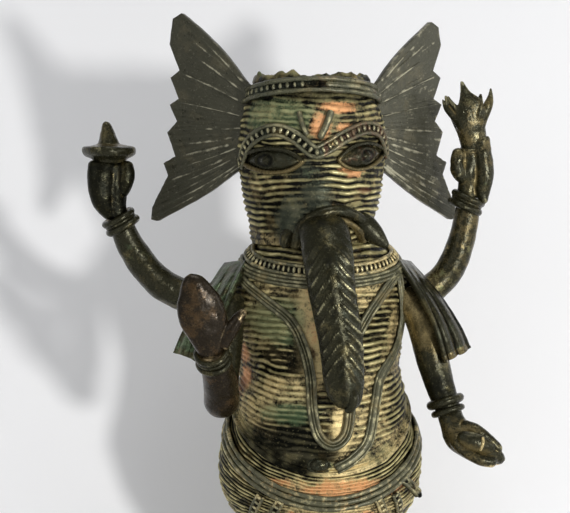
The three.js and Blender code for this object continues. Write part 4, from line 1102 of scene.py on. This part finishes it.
for word, look in earLooks.items():
    side, tip = look["side"], look["tip"]
    edge = [(19.6, tip), (22.4, tip - 1.6)] + earEdge + [(28, 6)]
    corners = np.array(edge, float)
    run = runOf(corners)
    at = np.sort(np.concatenate([np.linspace(0, run[-1], 380), run[1:-1]]))
    rows = len(at) - 1
    outer = valuesAt(run, at, corners)
    share = at / run[-1]
    inner = np.stack([np.full(rows + 1, -4.0), 45.6 - 20.2 * share], 1)

    def earPlace(i, j, side=side, look=look, outer=outer, inner=inner, share=share):
        # From the head, u is 0, to the edge, 1; v runs down along the edge.
        u, v = i / earColumns, share[j]
        fan = inner[j] + (outer[j] - inner[j]) * u[:, None]
        bow = 0.7 * np.sin(math.pi * u) * (np.clip(1 - v * 8, 0, 1) - np.clip((v - 0.9) * 10, 0, 1))
        fan[:, 1] += bow
        out, z = fan[:, 0] * 1.06, neck + fan[:, 1]
        pleats = np.cos(turn * earPleats * v) * np.clip(u * 2 - 0.3, 0, 1) * np.clip(v * 5 - 1.6, 0.2, 1)
        cup = -1.6 * np.sin(math.pi * u * 0.9) ** 2 + 0.14 * pleats * np.clip((1 - u) * 12, 0, 1)
        away = out * math.cos(earBack) + math.sin(earBack) * cup
        p = np.stack([headX + side * 20.8 + side * away,
                      0.6 + out * math.sin(earBack) + math.cos(earBack) * cup, z], 1)
        wide = np.linalg.norm(outer[j] - inner[j], axis=1)
        vein = np.zeros(len(u))
        for v0, start, stop in earVeins:
            line = np.exp(-(((v - v0) * (6 + 56 * u)) / 0.24) ** 2)
            broken = np.clip(1 + 0.9 * grain(p + side * 7 * v0, 5, int(v0 * 100)), 0.4, 1)
            reach = np.clip((u - start) * 12, 0, 1) * np.clip((stop - u) * 12, 0, 1)
            vein = np.maximum(vein, line * broken * reach)
        # Painted sheen: along the ear's borders and its outer edge the relief is raised, so these show a
        # paler tone, as if light gleamed on the rims.
        paintedRimSheen = np.clip((0.5 - np.minimum(v, 1 - v) * wide * u * 1.6) / 0.5, 0, 1)
        paintedRimSheen = np.maximum(paintedRimSheen, np.clip((u - 0.975) / 0.02, 0, 1))
        streak = grain(np.stack([v * 150, u * 9, 0 * u], 1), 1, 68)
        tone = look["tone"] + 0.14 * streak + 0.07 * pleats
        return p, {"vein": vein, "relief": tone + look["vein"] * vein + 0.12 * paintedRimSheen,
                   "ochre": 2 * np.clip(0.24 - u, 0, 1), "soot": look["soot"] * (0.5 - 0.5 * pleats)}

    ear = shaped(word + "Ear", earColumns, rows, earPlace)
    applied(ear, "SOLIDIFY", thickness=earThick * mm, offset=0)
    vein = np.empty(len(ear.data.vertices), np.float32)
    ear.data.attributes["vein"].data.foreach_get("value", vein)
    movePlaces(ear, placesOf(ear) + outwardOf(ear) * (vein * veinRise * mm)[:, None])
    finished(roughened(ear, [(7, 0.16), (2, 0.06)], 9), word + "_ear", "ear")
print("ears made")


# Scarf
scarfLook = {"thick": 1.5, "tail": (50, 90), "yoke": (120, 24), "pleats": 2.6}


def sheetPiece(name, grid, place):
    piece = shaped(name, *grid, place)
    applied(piece, "SOLIDIFY", thickness=scarfLook["thick"] * mm, offset=0)
    return roughened(piece, [(5, 0.18), (1.6, 0.06)], 13)


for side, word in ((-1, "right"), (1, "left")):

    def tailPlace(i, j, side=side):
        # Across the tail u runs from 0 to 1, and down it v does.
        u, v = i / scarfLook["tail"][0], j / scarfLook["tail"][1]
        top = np.array([side * 22.5, -5.5, -5.0]) + np.outer(u, (side * 5.5, 10.5, -1.6))
        hem = np.array([side * 35.4, -15, -35.0]) + np.outer(u, (side * 9, 7.5, 3.4))
        p = top + (hem - top) * v[:, None]
        bulge = np.sin(math.pi * v)
        p += np.stack([torsoX + side * 1.6 * bulge, -4.6 * bulge, neck + 0 * v], 1)
        fold = turn * (u ** 0.85) * scarfLook["pleats"] + 0.3
        wave = np.cos(fold)
        pleat = 0.62 * np.sign(wave) * np.abs(wave) ** 0.7 + 0.25 * np.exp(-((u - 0.94) / 0.04) ** 2)
        edges = np.exp(-(wave / 0.22) ** 2) * (np.sin(fold) > 0)
        hemLine = 0.2 * np.exp(-((v - 0.95) / 0.014) ** 2)
        p[:, 1] -= pleat * np.clip(v * 4, 0, 1) + hemLine
        p[:, 2] += 0.5 * grain(p, 4, 15) * (v > 0.96)
        return p, {"relief": 0.5 + 0.16 * pleat, "ochre": 1.2 * edges + 0.7 * (v > 0.93),
                   "verdigris": 0.6 if side < 0 else 0.25, "slate": 0.6 * (side < 0),
                   "soot": (wave < -0.3) * np.clip(v * 3, 0, 1) * (side > 0)}

    tail = sheetPiece(word + "ScarfTail", scarfLook["tail"], tailPlace)
    finished(tail, word + "_scarf_tail", "dark")


def yokePlace(i, j):
    u, v = i / scarfLook["yoke"][0], j / scarfLook["yoke"][1]
    angle = np.radians(26 + 128 * u)
    p, out = onBody(torso, angle, neck - 8.8 - 7 * v - 4 * np.sin(angle), 1.2)
    pleat = 0.4 * np.cos(turn * v * 3)
    return p + out * pleat[:, None], {"relief": 0.45 + pleat, "verdigris": 0.3}


finished(sheetPiece("scarfYoke", scarfLook["yoke"], yokePlace), "scarf_yoke", "ear")


# Arms and bangles
def bangles(name, at, along, radius, rings):
    # Rings round a wrist: each has its shift along the arm, thickness and extra width.
    across = np.cross(along, (0.3, 1, 0.2))
    frame = framesAlong(np.array([at]), np.array([along]), np.array([across]))[0]
    m = np.array(frame)[:3, :3]
    parts = []
    t = np.arange(73) / 72 * turn
    t[-1] = 0
    for shift, thick, more in rings:
        circle = np.stack([0 * t + shift, (radius + more) * np.cos(t), (radius + more) * np.sin(t)], 1)
        points = circle @ m.T + at
        parts.append(tube("ring", points, thick, unit(points - at - np.array(along) * shift), 12, 1, True))
    return roughened(joined(name, parts), [(2.5, 0.12)], 17)


# Each place is x, y, height above the neck, and two radii; the last is the wrist.
rearArms = {
    "right": {
        "places": [(-26, 4, -17, 5.6, 5.8), (-33, 5, -17, 5, 5.1), (-42, 6, -15.2, 4.9, 4.9),
                   (-50, 6, -9.6, 4.6, 4.6), (-55.8, 6, -1.4, 4.1, 4.1), (-60.2, 5.2, 8.2, 3.5, 3.5)],
        "seed": 31, "ochre": 0.22, "verdigris": 0.4, "tan": 0, "bend": (-1, 0, 0)},
    "left": {
        "places": [(21, 3, -13.6, 5, 6), (26.2, 4, -15.8, 5.2, 5.6), (31.5, 5, -16.4, 4.6, 4.8),
                   (37.4, 6, -13, 4.5, 4.5), (42, 6, -6.8, 4.3, 4.3), (45.4, 6, 3.4, 4, 4),
                   (46.8, 5.4, 13.6, 3.5, 3.5)],
        "seed": 33, "ochre": 0.54, "verdigris": 0.5, "tan": 0.5, "bend": (3, 0, 0)},
}
rearWrists = {}
ringPair = [(-1.35, 1.15, 0.45), (0.2, 0.7, 0.2), (1.35, 1.05, 0.35)]
for word, look in rearArms.items():
    places = [(x, y, neck + z, a, b) for x, y, z, a, b in look["places"]]
    arm = limb(word + "RearArm", places, 36, 90, tip=0, dents=0.2, seed=look["seed"])
    wearMarks(arm)
    painted(arm, lambda p: {"ochre": look["ochre"] + 0.4 * grain(p, 9, 75),
                            "verdigris": look["verdigris"] * np.clip(grain(p, 8, 77) + 0.4, 0, 1),
                            "tan": look["tan"] * np.clip(grain(p, 5, 85) + 0.3, 0, 1)})
    finished(arm, word + "_rear_arm", "dark")
    wrist, before = np.array(places[-1][:3]), np.array(places[-2][:3])
    way = unit(wrist - before + look["bend"])
    finished(bangles(word + "RearBangle", wrist - way * 2, way, 4, ringPair), word + "_rear_bangle",
             "dark")
    rearWrists[word] = wrist


# Hands
def hand(name, parts, voxel=0.36, smooth=5, dents=((4, 0.22), (1.5, 0.07)), seed=0):
    piece = fused(name, parts, voxel, smooth)
    roughened(piece, dents, seed)
    wearMarks(piece, 1.5, 3)
    return piece


def finger(places, at, facing=(0, -1, 0), tip=1.6, name="finger", sides=20, rows=26):
    # Each place is how far sideways, forward and up from at, and its two radii.
    line = [(at[0] + x, at[1] - ahead, at[2] + z, deep, wide) for x, ahead, z, deep, wide in places]
    return limb(name, line, sides, rows, facing, tip, 0)


wrist = rearWrists["right"]
finished(hand("rightRearHand", [
    finger([(0.3, 0, -1, 3.1, 3.2), (-0.8, 0.4, 3, 3.2, 3.6), (-1.8, 0.8, 9, 3.6, 5),
            (-1.8, 0.8, 16.6, 3.2, 5)], wrist),
    finger([(-1.6, 1, -0.4, 2, 1.8), (-4.4, 2.4, 4.4, 2.6, 3.2), (-5, 3, 10.4, 3, 3.9),
            (-4.8, 2.6, 17.2, 2.6, 3.8)], wrist),
    finger([(0.6, 1, 5.6, 1.6, 1.6), (2.2, 2.4, 9.4, 2.3, 2.3), (2.8, 2.6, 13, 2.4, 2.5),
            (2.2, 2, 16.8, 1.9, 2.2)], wrist, tip=1.8),
    finger([(-4, -1.6, 8, 2, 2.4), (-1, -2.6, 11, 2, 2.6), (2, -1.6, 12, 1.8, 2.2)], wrist, tip=2),
], seed=41), "right_rear_hand", "dark")
painted(made[-1], lambda p: {"soot": 1.15 + 0.3 * grain(p, 4, 79)})

wrist = rearWrists["left"]
finished(hand("leftRearHand", [
    finger([(-0.2, 0, -1, 3, 3.1), (-0.4, 0.2, 3, 3, 3.1), (-0.2, 0.5, 8, 3.2, 3.6),
            (0.6, 0.6, 15.4, 3, 3.8)], wrist),
    finger([(4.1, 2.4, -2.4, 1.1, 0.9), (3.8, 2.4, 1.6, 2, 2.3), (4.3, 2.6, 7, 2.4, 2.6),
            (3.8, 2.2, 12, 2.7, 2.8), (2.6, 1.6, 18.6, 2.6, 3.2)], wrist, tip=1.4),
    finger([(-1.8, 1.4, 5, 1.9, 1.8), (-4, 2.2, 8, 2.2, 2.1), (-4.2, 2.4, 11.6, 2.2, 2.1),
            (-3.4, 1.8, 14.8, 1.6, 1.7)], wrist),
    finger([(3, -1.6, 6, 1.8, 2), (0.6, -2.6, 9, 2, 2.2), (-2.6, -1.4, 11, 1.6, 1.8)], wrist, tip=2),
], dents=((3, 0.25), (1.3, 0.12)), seed=43), "left_rear_hand", "dark")
painted(made[-1], lambda p: {"ochre": 0.42 + 0.5 * grain(p, 3, 81),
                             "verdigris": 0.16 + 0.3 * grain(p, 5, 82)})

discSeat = rearWrists["right"] + (-2.4, -0.6, 17.8)
# Each place is a radius and a height above the seat.
discProfile = [(0, -1.8), (4.2, -1.8), (5.4, -0.8), (7, 0.1), (7.8, 0.9), (8, 2), (7.5, 2.9), (5.6, 3.2),
               (3.6, 3.7), (3, 4.7), (2.5, 6.6), (1.8, 8.4), (1.2, 9.7), (0.5, 10.4), (0, 10.4)]
discSides, discRows = 64, 90


def discPlace(i, j):
    a = (i % discSides) * turn / discSides
    line = smoothLine([(r, z, 0) for r, z in discProfile], discRows + 1)[j]
    r = np.maximum(line[:, 0], 0) * (1 + 0.03 * np.sin(3 * a + 1)) * ((j > 0) & (j < discRows))
    p = discSeat + np.stack([r * np.cos(a) - 0.05 * line[:, 1], r * np.sin(a), line[:, 1]], 1)
    return p, {"relief": 0.5, "ochre": 0.9 * np.clip(1 - np.abs(line[:, 1] - 3.5) / 0.9, 0, 1)}


disc = roughened(shaped("discFinial", discSides, discRows, discPlace), [(3.4, 0.3), (1.4, 0.1)], 19)
wearMarks(disc, 0.8)
finished(disc, "disc_finial", "dark")

lotusSeat = rearWrists["left"] + (0.1, -0.6, 15.4)
petalRows = [
    [(1.2, 0, -1.6, 3, 3.8), (0.9, 0, 2, 3.4, 4.2), (-0.2, 0, 7, 3.2, 4.6)],
    [(0, 1.4, 2, 1.6, 2.4), (-0.4, 2.6, 7, 1.3, 4.2), (-0.8, 3, 12, 0.9, 4.2), (-2.2, 2.8, 16, 0.6, 1.7),
     (-3.4, 2.6, 19.8, 0.3, 0.3)],
    [(2, 0.8, 3, 1.6, 1.7), (3.2, 1.4, 8, 1.5, 1.8), (5, 1.6, 12, 1.2, 1.5), (5.9, 1.4, 15, 0.8, 0.9),
     (6, 1.2, 17.8, 0.3, 0.3)],
    [(-1.6, 1, 3.4, 1.6, 1.5), (-4.4, 1.6, 8, 1.4, 1.4), (-7.4, 1.6, 11.2, 1, 1.1),
     (-8.9, 1.4, 14.2, 0.3, 0.3)],
    [(-2, 1.8, 7, 1.3, 1.3), (-4.6, 2.4, 10.8, 1, 1.1), (-6.4, 2.4, 13.2, 0.7, 0.7),
     (-7.5, 2.2, 15.2, 0.3, 0.3)],
    [(1, 2.2, 6, 1.2, 1.2), (2, 3.2, 9.6, 0.9, 1), (2.6, 3.4, 12.8, 0.3, 0.4)],
    [(-1.6, -1.4, 3, 1.4, 1.6), (-3.8, -2.6, 8, 1.2, 1.6), (-6, -3.6, 12, 0.8, 1), (-7, -4, 15.4, 0.3, 0.3)],
    [(1.4, -1.6, 3, 1.4, 1.8), (2.6, -3.4, 8, 1.2, 2), (3.6, -4.6, 12, 0.8, 1.4), (4.2, -5, 16, 0.3, 0.3)],
]
petals = [finger(row, lotusSeat, tip=0.6, name="petal", rows=30) for row in petalRows]
finished(hand("lotusBud", petals, 0.26, 2, ((3, 0.12),), 45), "lotus_bud", "dark")
painted(made[-1], lambda p: {"ochre": 0.4 + 0.5 * grain(p, 3, 83),
                             "verdigris": 0.16 + 0.3 * grain(p, 5, 84)})

# The right front arm, raised with its palm forward
upperPlaces = [(-25.4, -4.6, neck - 16, 3.6, 4), (-27.4, -7, neck - 19, 4.2, 4.4),
               (-28.2, -8.4, neck - 22, 4.6, 4.9), (-29.4, -11, neck - 33, 5, 5),
               (-30.4, -13, neck - 43, 5, 5)]
upper = limb("rightFrontUpperArm", upperPlaces, 32, 60, tip=3, dents=0.18, seed=51)
wearMarks(upper)
finished(upper, "right_front_upper_arm", "dark")
wrist = np.array([-34.4, -28.6, neck - 29.4])
forearmPlaces = [(-30.2, -12.4, neck - 46.2, 3.4, 3.6), (-30.4, -15, neck - 45.4, 5.1, 5.2),
                 (-31, -19, neck - 41, 4.9, 5.1), (-32, -22.6, neck - 36.4, 4.6, 4.8), (*wrist, 3.6, 3.8)]
forearm = limb("rightFrontForearm", forearmPlaces, 36, 70, dents=0.12, seed=52)
wearMarks(forearm)
finished(forearm, "right_front_forearm", "hand")
way = unit(np.array([-2.4, -6.2, 7.2]))
rings = [(-1.6, 0.95, 0.35), (0.3, 0.7, 0.2), (2, 0.95, 0.2)]
finished(bangles("rightFrontBangle", wrist - way * 2.2, way, 4.2, rings),
         "right_front_bangle", "dark")
blessing = hand("rightFrontHand", [
    finger([(0.4, -0.8, -1.2, 3, 3.6), (-0.9, 1, 4, 3, 4.8), (-2.2, 1.8, 9, 3.3, 6.8),
            (-3.8, 2.8, 14.4, 3.1, 6.6), (-5.2, 3.6, 19.4, 2.4, 4.2), (-6.2, 4.2, 23.2, 1.2, 1.8)],
           wrist, tip=2.4),
    finger([(2.4, 1, 1.6, 1.8, 2.2), (4.4, 1.6, 4.6, 2, 2.2), (6.2, 2, 7.8, 1.8, 1.9),
            (8, 2.2, 10.6, 1.4, 1.5), (9.8, 2, 12.6, 0.8, 0.8)], wrist, tip=1.2),
], 0.34, 5, ((6, 0.22), (2.2, 0.14)), 53)
finished(blessing, "right_front_hand", "hand")

# The left front arm, lowered, with a sweet on its open hand
wrist = np.array([37.6, -12, neck - 50])
loweredPlaces = [(24.4, -4, neck - 15, 3.6, 4), (27.6, -6, neck - 19, 4.2, 4.6),
                 (30.4, -7.4, neck - 23, 4.9, 5), (33.6, -9.4, neck - 36, 4.7, 4.8), (*wrist, 3.6, 3.7)]
loweredLook = {"ochreAbove": -36, "tanAbove": -32, "sootBelow": -35}
lowered = limb("leftFrontArm", loweredPlaces, 36, 80, dents=0.2, seed=55)
wearMarks(lowered)


def loweredPaint(p):
    up = p[:, 2] - neck
    ochre = 1.1 * np.clip((up - loweredLook["ochreAbove"]) / 8, 0, 1) + 0.5 * np.clip(grain(p, 4, 69), 0, 1)
    return {"ochre": ochre, "soot": 0.75 * np.clip((loweredLook["sootBelow"] - up) / 5, 0, 1),
            "tan": 0.62 * np.clip((up - loweredLook["tanAbove"]) / 6, 0, 1)}


finished(painted(lowered, loweredPaint), "left_front_arm", "dark")
way = unit(np.array([4, -2.6, -14]))
finished(bangles("leftFrontBangle", wrist - way * 1.9, way, 4.1, [(-1.3, 1.35, 0.35), (1.5, 1, 0.1)]),
         "left_front_bangle", "dark")
openHand = hand("leftFrontHand", [
    finger([(0, -0.2, 1, 3.1, 3.4), (1, 1.2, -3, 3.6, 4), (3.4, 3, -7.4, 4.4, 4.8),
            (8.6, 5.4, -11.2, 4.6, 3.6), (13, 6.6, -12.8, 3.2, 2.4), (16, 7.6, -13.4, 2, 1.6)],
           wrist, (0, -1, 0.5), 2),
    finger([(3.4, 3.6, -3.4, 2, 2), (8, 6.4, -5, 2, 1.8), (12, 7.4, -8.4, 1.8, 1.6),
            (14.6, 7.6, -11.2, 1.2, 1.2)], wrist),
    finger([(0.4, 4, -6, 2, 2), (2.6, 7.4, -9.6, 2.2, 2), (7.4, 9.4, -12.8, 2.2, 1.8),
            (13, 9.4, -14, 1.6, 1.6)], wrist),
], 0.36, 5, ((4, 0.2), (1.5, 0.06)), 57)


def openHandPaint(p):
    # Its lower edge is rubbed bright.
    edge = bump(p[:, 0], p[:, 2], wrist[[0, 2]] + (12, -15.6), 4, 1.2)
    return {"ochre": 0.45 + 0.3 * grain(p, 7, 78), "tan": 1.4 * edge + 0.3 * np.clip(grain(p, 3, 70), 0, 1)}


finished(painted(openHand, openHandPaint), "left_front_hand", "dark")
sweetAt = wrist + (6.8, -8.4, -8.2)
bun = roughened(lump("bun", sweetAt, (6.2, 2.8, 3), (0, 22, 0), 40), [(3, 0.25), (1.4, 0.1)], 59)
line = smoothLine([sweetAt + (1.6, -1.6, 2.1), sweetAt + (1.4, -2.9, 0.4), sweetAt + (0.6, -2.5, -2)], 20)
seam = setPaint(tube("seam", line, 0.5, (0, -1, 0), 8), {"tan": 0.8})
finished(joined("sweet", [bun, seam]), "sweet", "dark")
print("arms made")

# Legs, feet and base
plateLow, plateHigh = boxOf("base_plate")
plateTop = plateHigh[2]
legLook = {"out": 11.5, "ankle": 6, "ringRadius": 6.6, "bells": 14, "bellsAt": 7.6, "radius": 8,
           "pitch": 1.8, "depth": 0.4}


def legLift(a, run, p):
    rise, own = threads(p, a * legLook["radius"], p[:, 2], legLook["pitch"], 91, 4)
    size = np.clip(0.92 + 0.4 * own, 0.2, 1.1)
    return rise * size * legLook["depth"], {"relief": rise ** 1.3 * size}


footTop = plateTop + legLook["ankle"]
for side, word in ((-1, "right"), (1, "left")):
    x = hipX + side * legLook["out"]
    places = [(x, 0, footTop - 1.5, 6, 6), (x, 0, footTop + 8, 6.2, 6.2), (x, 0, footTop + 18, 6.8, 6.8),
              (x, 0, footTop + 27, 8, 7.4), (x, 0, footTop + 36, 8, 8), (x, 0, hipBottom + 3, 8.6, 8.6)]
    leg = limb(word + "Leg", places, 90, 180, tip=0, dents=0.08, seed=92, lift=legLift)
    finished(leg, word + "_leg", "body")
    rings = bangles(word + "Anklet", np.array([x, 0, footTop + 3]), np.array([0, 0, 1.0]),
                    legLook["ringRadius"], [(-1.2, 0.95, 0.3), (1.2, 0.95, 0.1)])
    bead = lump("bell", (0, 0, 0), (0.8, 0.8, 0.9), segments=10)
    spots = []
    for v in np.arange(legLook["bells"]) / legLook["bells"] * turn:
        out, ahead = legLook["bellsAt"] * math.cos(v), legLook["bellsAt"] * math.sin(v)
        spots.append(Matrix.Translation(Vector((x + out, ahead, footTop + 0.7)) * mm))
    bells = copies(bead, spots)
    finished(joined(word + "Anklet", [rings] + bells), word + "_anklet", "cord")
    toes = [lump("toe", (x + k * 2.5, -15.9 + abs(k) * 0.5, plateTop + 1.9), (1.5, 2.6, 1.8), segments=16)
            for k in (-2, -1, 0, 1, 2)]
    sole = [lump("sole", (x, -9, plateTop + 2), (6.1, 8.6, 2.6)),
            lump("heel", (x, 1.4, plateTop + 2.8), (5.6, 6.4, 3.8)),
            lump("arch", (x, -3, plateTop + 3.6), (5, 8, 3.4))]
    foot = hand(word + "Foot", toes + sole, 0.4, 3, ((4, 0.12),), 95)
    finished(foot, word + "_foot", "dark")

plateLook = {"corner": 12, "pitch": 1.9, "thick": 6, "bevel": 0.5, "sides": 240, "rows": 150,
             "turns": 46, "strand": 0.78, "lay": 0.62}


def plateEdge(a):
    # How far the rounded rectangle reaches at each angle.
    r = plateLook["corner"]
    w, d = plateHigh[0] - r, plateHigh[1] - r
    low, high = np.zeros(len(a)), np.full(len(a), 60.0)
    for _ in range(30):
        middle = (low + high) / 2
        x, y = np.abs(middle * np.cos(a)) - w, np.abs(middle * np.sin(a)) - d
        outside = np.hypot(np.maximum(x, 0), np.maximum(y, 0)) + np.minimum(np.maximum(x, y), 0) > r
        low, high = np.where(outside, low, middle), np.where(outside, middle, high)
    return low


def platePlace(i, j):
    # The first rows make the underside and the wall, and the rest the top.
    a = (i % plateLook["sides"]) * turn / plateLook["sides"]
    edge = plateEdge(a)
    thick, bevel, inset = plateLook["thick"], plateLook["bevel"], 1 - 0.4 / 30
    rest = plateLook["rows"] - 3
    share = np.array([0, inset, 1, 1] + list(np.linspace(inset, 0, rest)))[j]
    z = np.array([0, 0, bevel, thick - bevel] + [float(thick)] * rest)[j] + plateLow[2]
    out = edge * share
    coil = np.sqrt(np.clip(1 - (2 * ((edge - out) / plateLook["pitch"] % 1) - 1) ** 2, 0, 1))
    p = np.stack([out * np.cos(a), out * np.sin(a), z], 1)
    top = (j > 4) & (out > 0.6)
    own = 1 + 0.3 * grain(p, 4, 97)
    p[:, 2] += top * (coil * own * 0.4 - 0.45)
    return p, {"relief": np.where(top, coil ** 1.3 * own, 0.5), "tan": 0.4 + 0.3 * grain(p, 8, 98)}


plate = shaped("basePlate", plateLook["sides"], plateLook["rows"], platePlace)
finished(plate, "base_plate", "body")
t = np.arange(361) / 360 * turn
t[-1] = 0
reach = plateEdge(t) + 1.7
rim = np.stack([reach * np.cos(t), reach * np.sin(t), np.full(361, plateLow[2] + 3)], 1)
out = unit(rim * (1, 1, 0))
rope = []
for k in (0, 1):
    twist = np.arange(361) * turn * plateLook["turns"] / 360 + k * math.pi
    twist[-1] = k * math.pi
    aside = out * np.cos(twist)[:, None] + np.array([0, 0, 1]) * np.sin(twist)[:, None]
    rope.append(tube("ropeStrand", rim + plateLook["lay"] * aside, plateLook["strand"], out, 8, 1, True))
finished(joined("baseEdgeCord", rope), "base_edge_cord", "cord")
print("base made")

clay = clayFinish()
for node in ("hip_core", "torso_core", "head_core"):
    frame["nodes"][node].data.materials.clear()
    frame["nodes"][node].data.materials.append(clay)

# Studio: a floor, and a paper sheet that leans back with its foot just behind the base
paperLook = {"floor": (244, 244, 245), "backdrop": (246, 246, 247), "wide": 1.8, "tall": 1.1, "bend": 0.3,
             "behind": 0.004}
low, high = cadBox


def stageFinish(name, tone):
    # Seen from behind, the paper is clear.
    f = Finish(name)
    cloud = f.noise(400, 2)
    colour = f.mix(f.rise(cloud, 0.3, 0.7) * 0.25, shade(*tone), shade(*[v - 4 for v in tone]))
    surface = f.node("ShaderNodeBsdfPrincipled", None, {"Base Color": colour, "Roughness": 0.9})
    clear = f.node("ShaderNodeBsdfTransparent")
    behind = f.node("ShaderNodeNewGeometry", out=6)
    return f.end(f.node("ShaderNodeMixShader", None, {0: behind, 1: surface, 2: clear}))


bpy.ops.object.select_all(action="DESELECT")
bpy.ops.mesh.primitive_plane_add(size=5, location=(0, 0, 0))
floor = bpy.context.object
floor.name = "floor"
floor.data.transform(Matrix.Translation((0, 0, low[2] - 0.0002)))
bpy.ops.mesh.primitive_grid_add(x_subdivisions=2, y_subdivisions=60, size=1)
wall = bpy.context.object
wall.name = "backdrop"
for corner in wall.data.vertices:
    x, up = corner.co.x * paperLook["wide"], (corner.co.y + 0.5) * paperLook["tall"]
    bend = min(up, paperLook["bend"])
    away = paperLook["behind"] + 0.16 * bend + 0.95 * bend ** 2 + (up - bend) * 0.73
    corner.co = (x, high[1] + away, low[2] + up - 0.0001)
toEdit(tidy)
bpy.ops.object.shade_smooth()
for obj in (floor, wall):
    obj.data.materials.append(stageFinish(obj.name + "Paper", paperLook[obj.name]))


def lamp(name, place, aim, size, power, tone):
    light = bpy.data.lights.new(name, "AREA")
    light.shape, light.size, light.energy, light.color = "DISK", size, power, tone
    obj = bpy.data.objects.new(name, light)
    obj.location = place
    obj.rotation_euler = (Vector(aim) - Vector(place)).to_track_quat("-Z", "Y").to_euler()
    bpy.context.scene.collection.objects.link(obj)


aim = (0, 0, 0.14)
lamp("keyLamp", (0.43, -0.9, 0.17), aim, 0.1, 5, (1, 0.99, 0.975))
lamp("fillLamp", (-0.8, -0.75, 0.5), aim, 0.8, 1.4, (0.97, 0.98, 1))
lamp("topLamp", (0.1, -0.25, 0.95), aim, 0.35, 1.3, (1, 1, 1))
lamp("sideLamp", (0.8, -0.25, 0.3), aim, 0.45, 1.3, (1, 1, 1))

world = bpy.data.worlds.new("paleRoom")
bpy.context.scene.world = world
world.use_nodes = True
sky = world.node_tree.nodes["Background"]
sky.inputs["Color"].default_value = (0.97, 0.98, 1, 1)
sky.inputs["Strength"].default_value = 0.3

cameraLook = {"azimuth": -6, "elevation": 4, "distance": 0.65, "lens": 136.8}
camera = bpy.data.objects.new("camera", bpy.data.cameras.new("camera"))
bpy.context.scene.collection.objects.link(camera)
bpy.context.scene.camera = camera
a, e = math.radians(cameraLook["azimuth"]), math.radians(cameraLook["elevation"])
target = Vector((float(headX) * mm - 0.008, 0, neck * mm - 0.004))
back = Vector((math.sin(a) * math.cos(e), -math.cos(a) * math.cos(e), math.sin(e)))
camera.location = target + back * cameraLook["distance"]
camera.rotation_euler = (-back).to_track_quat("-Z", "Y").to_euler()
camera.data.lens = cameraLook["lens"]
camera.data.sensor_width = 36
camera.data.clip_start, camera.data.clip_end = 0.01, 20
bpy.context.scene.view_settings.view_transform = "Standard"

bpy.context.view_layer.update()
print("triangles", sum(len(p.data.polygons) for p in made) * 2)
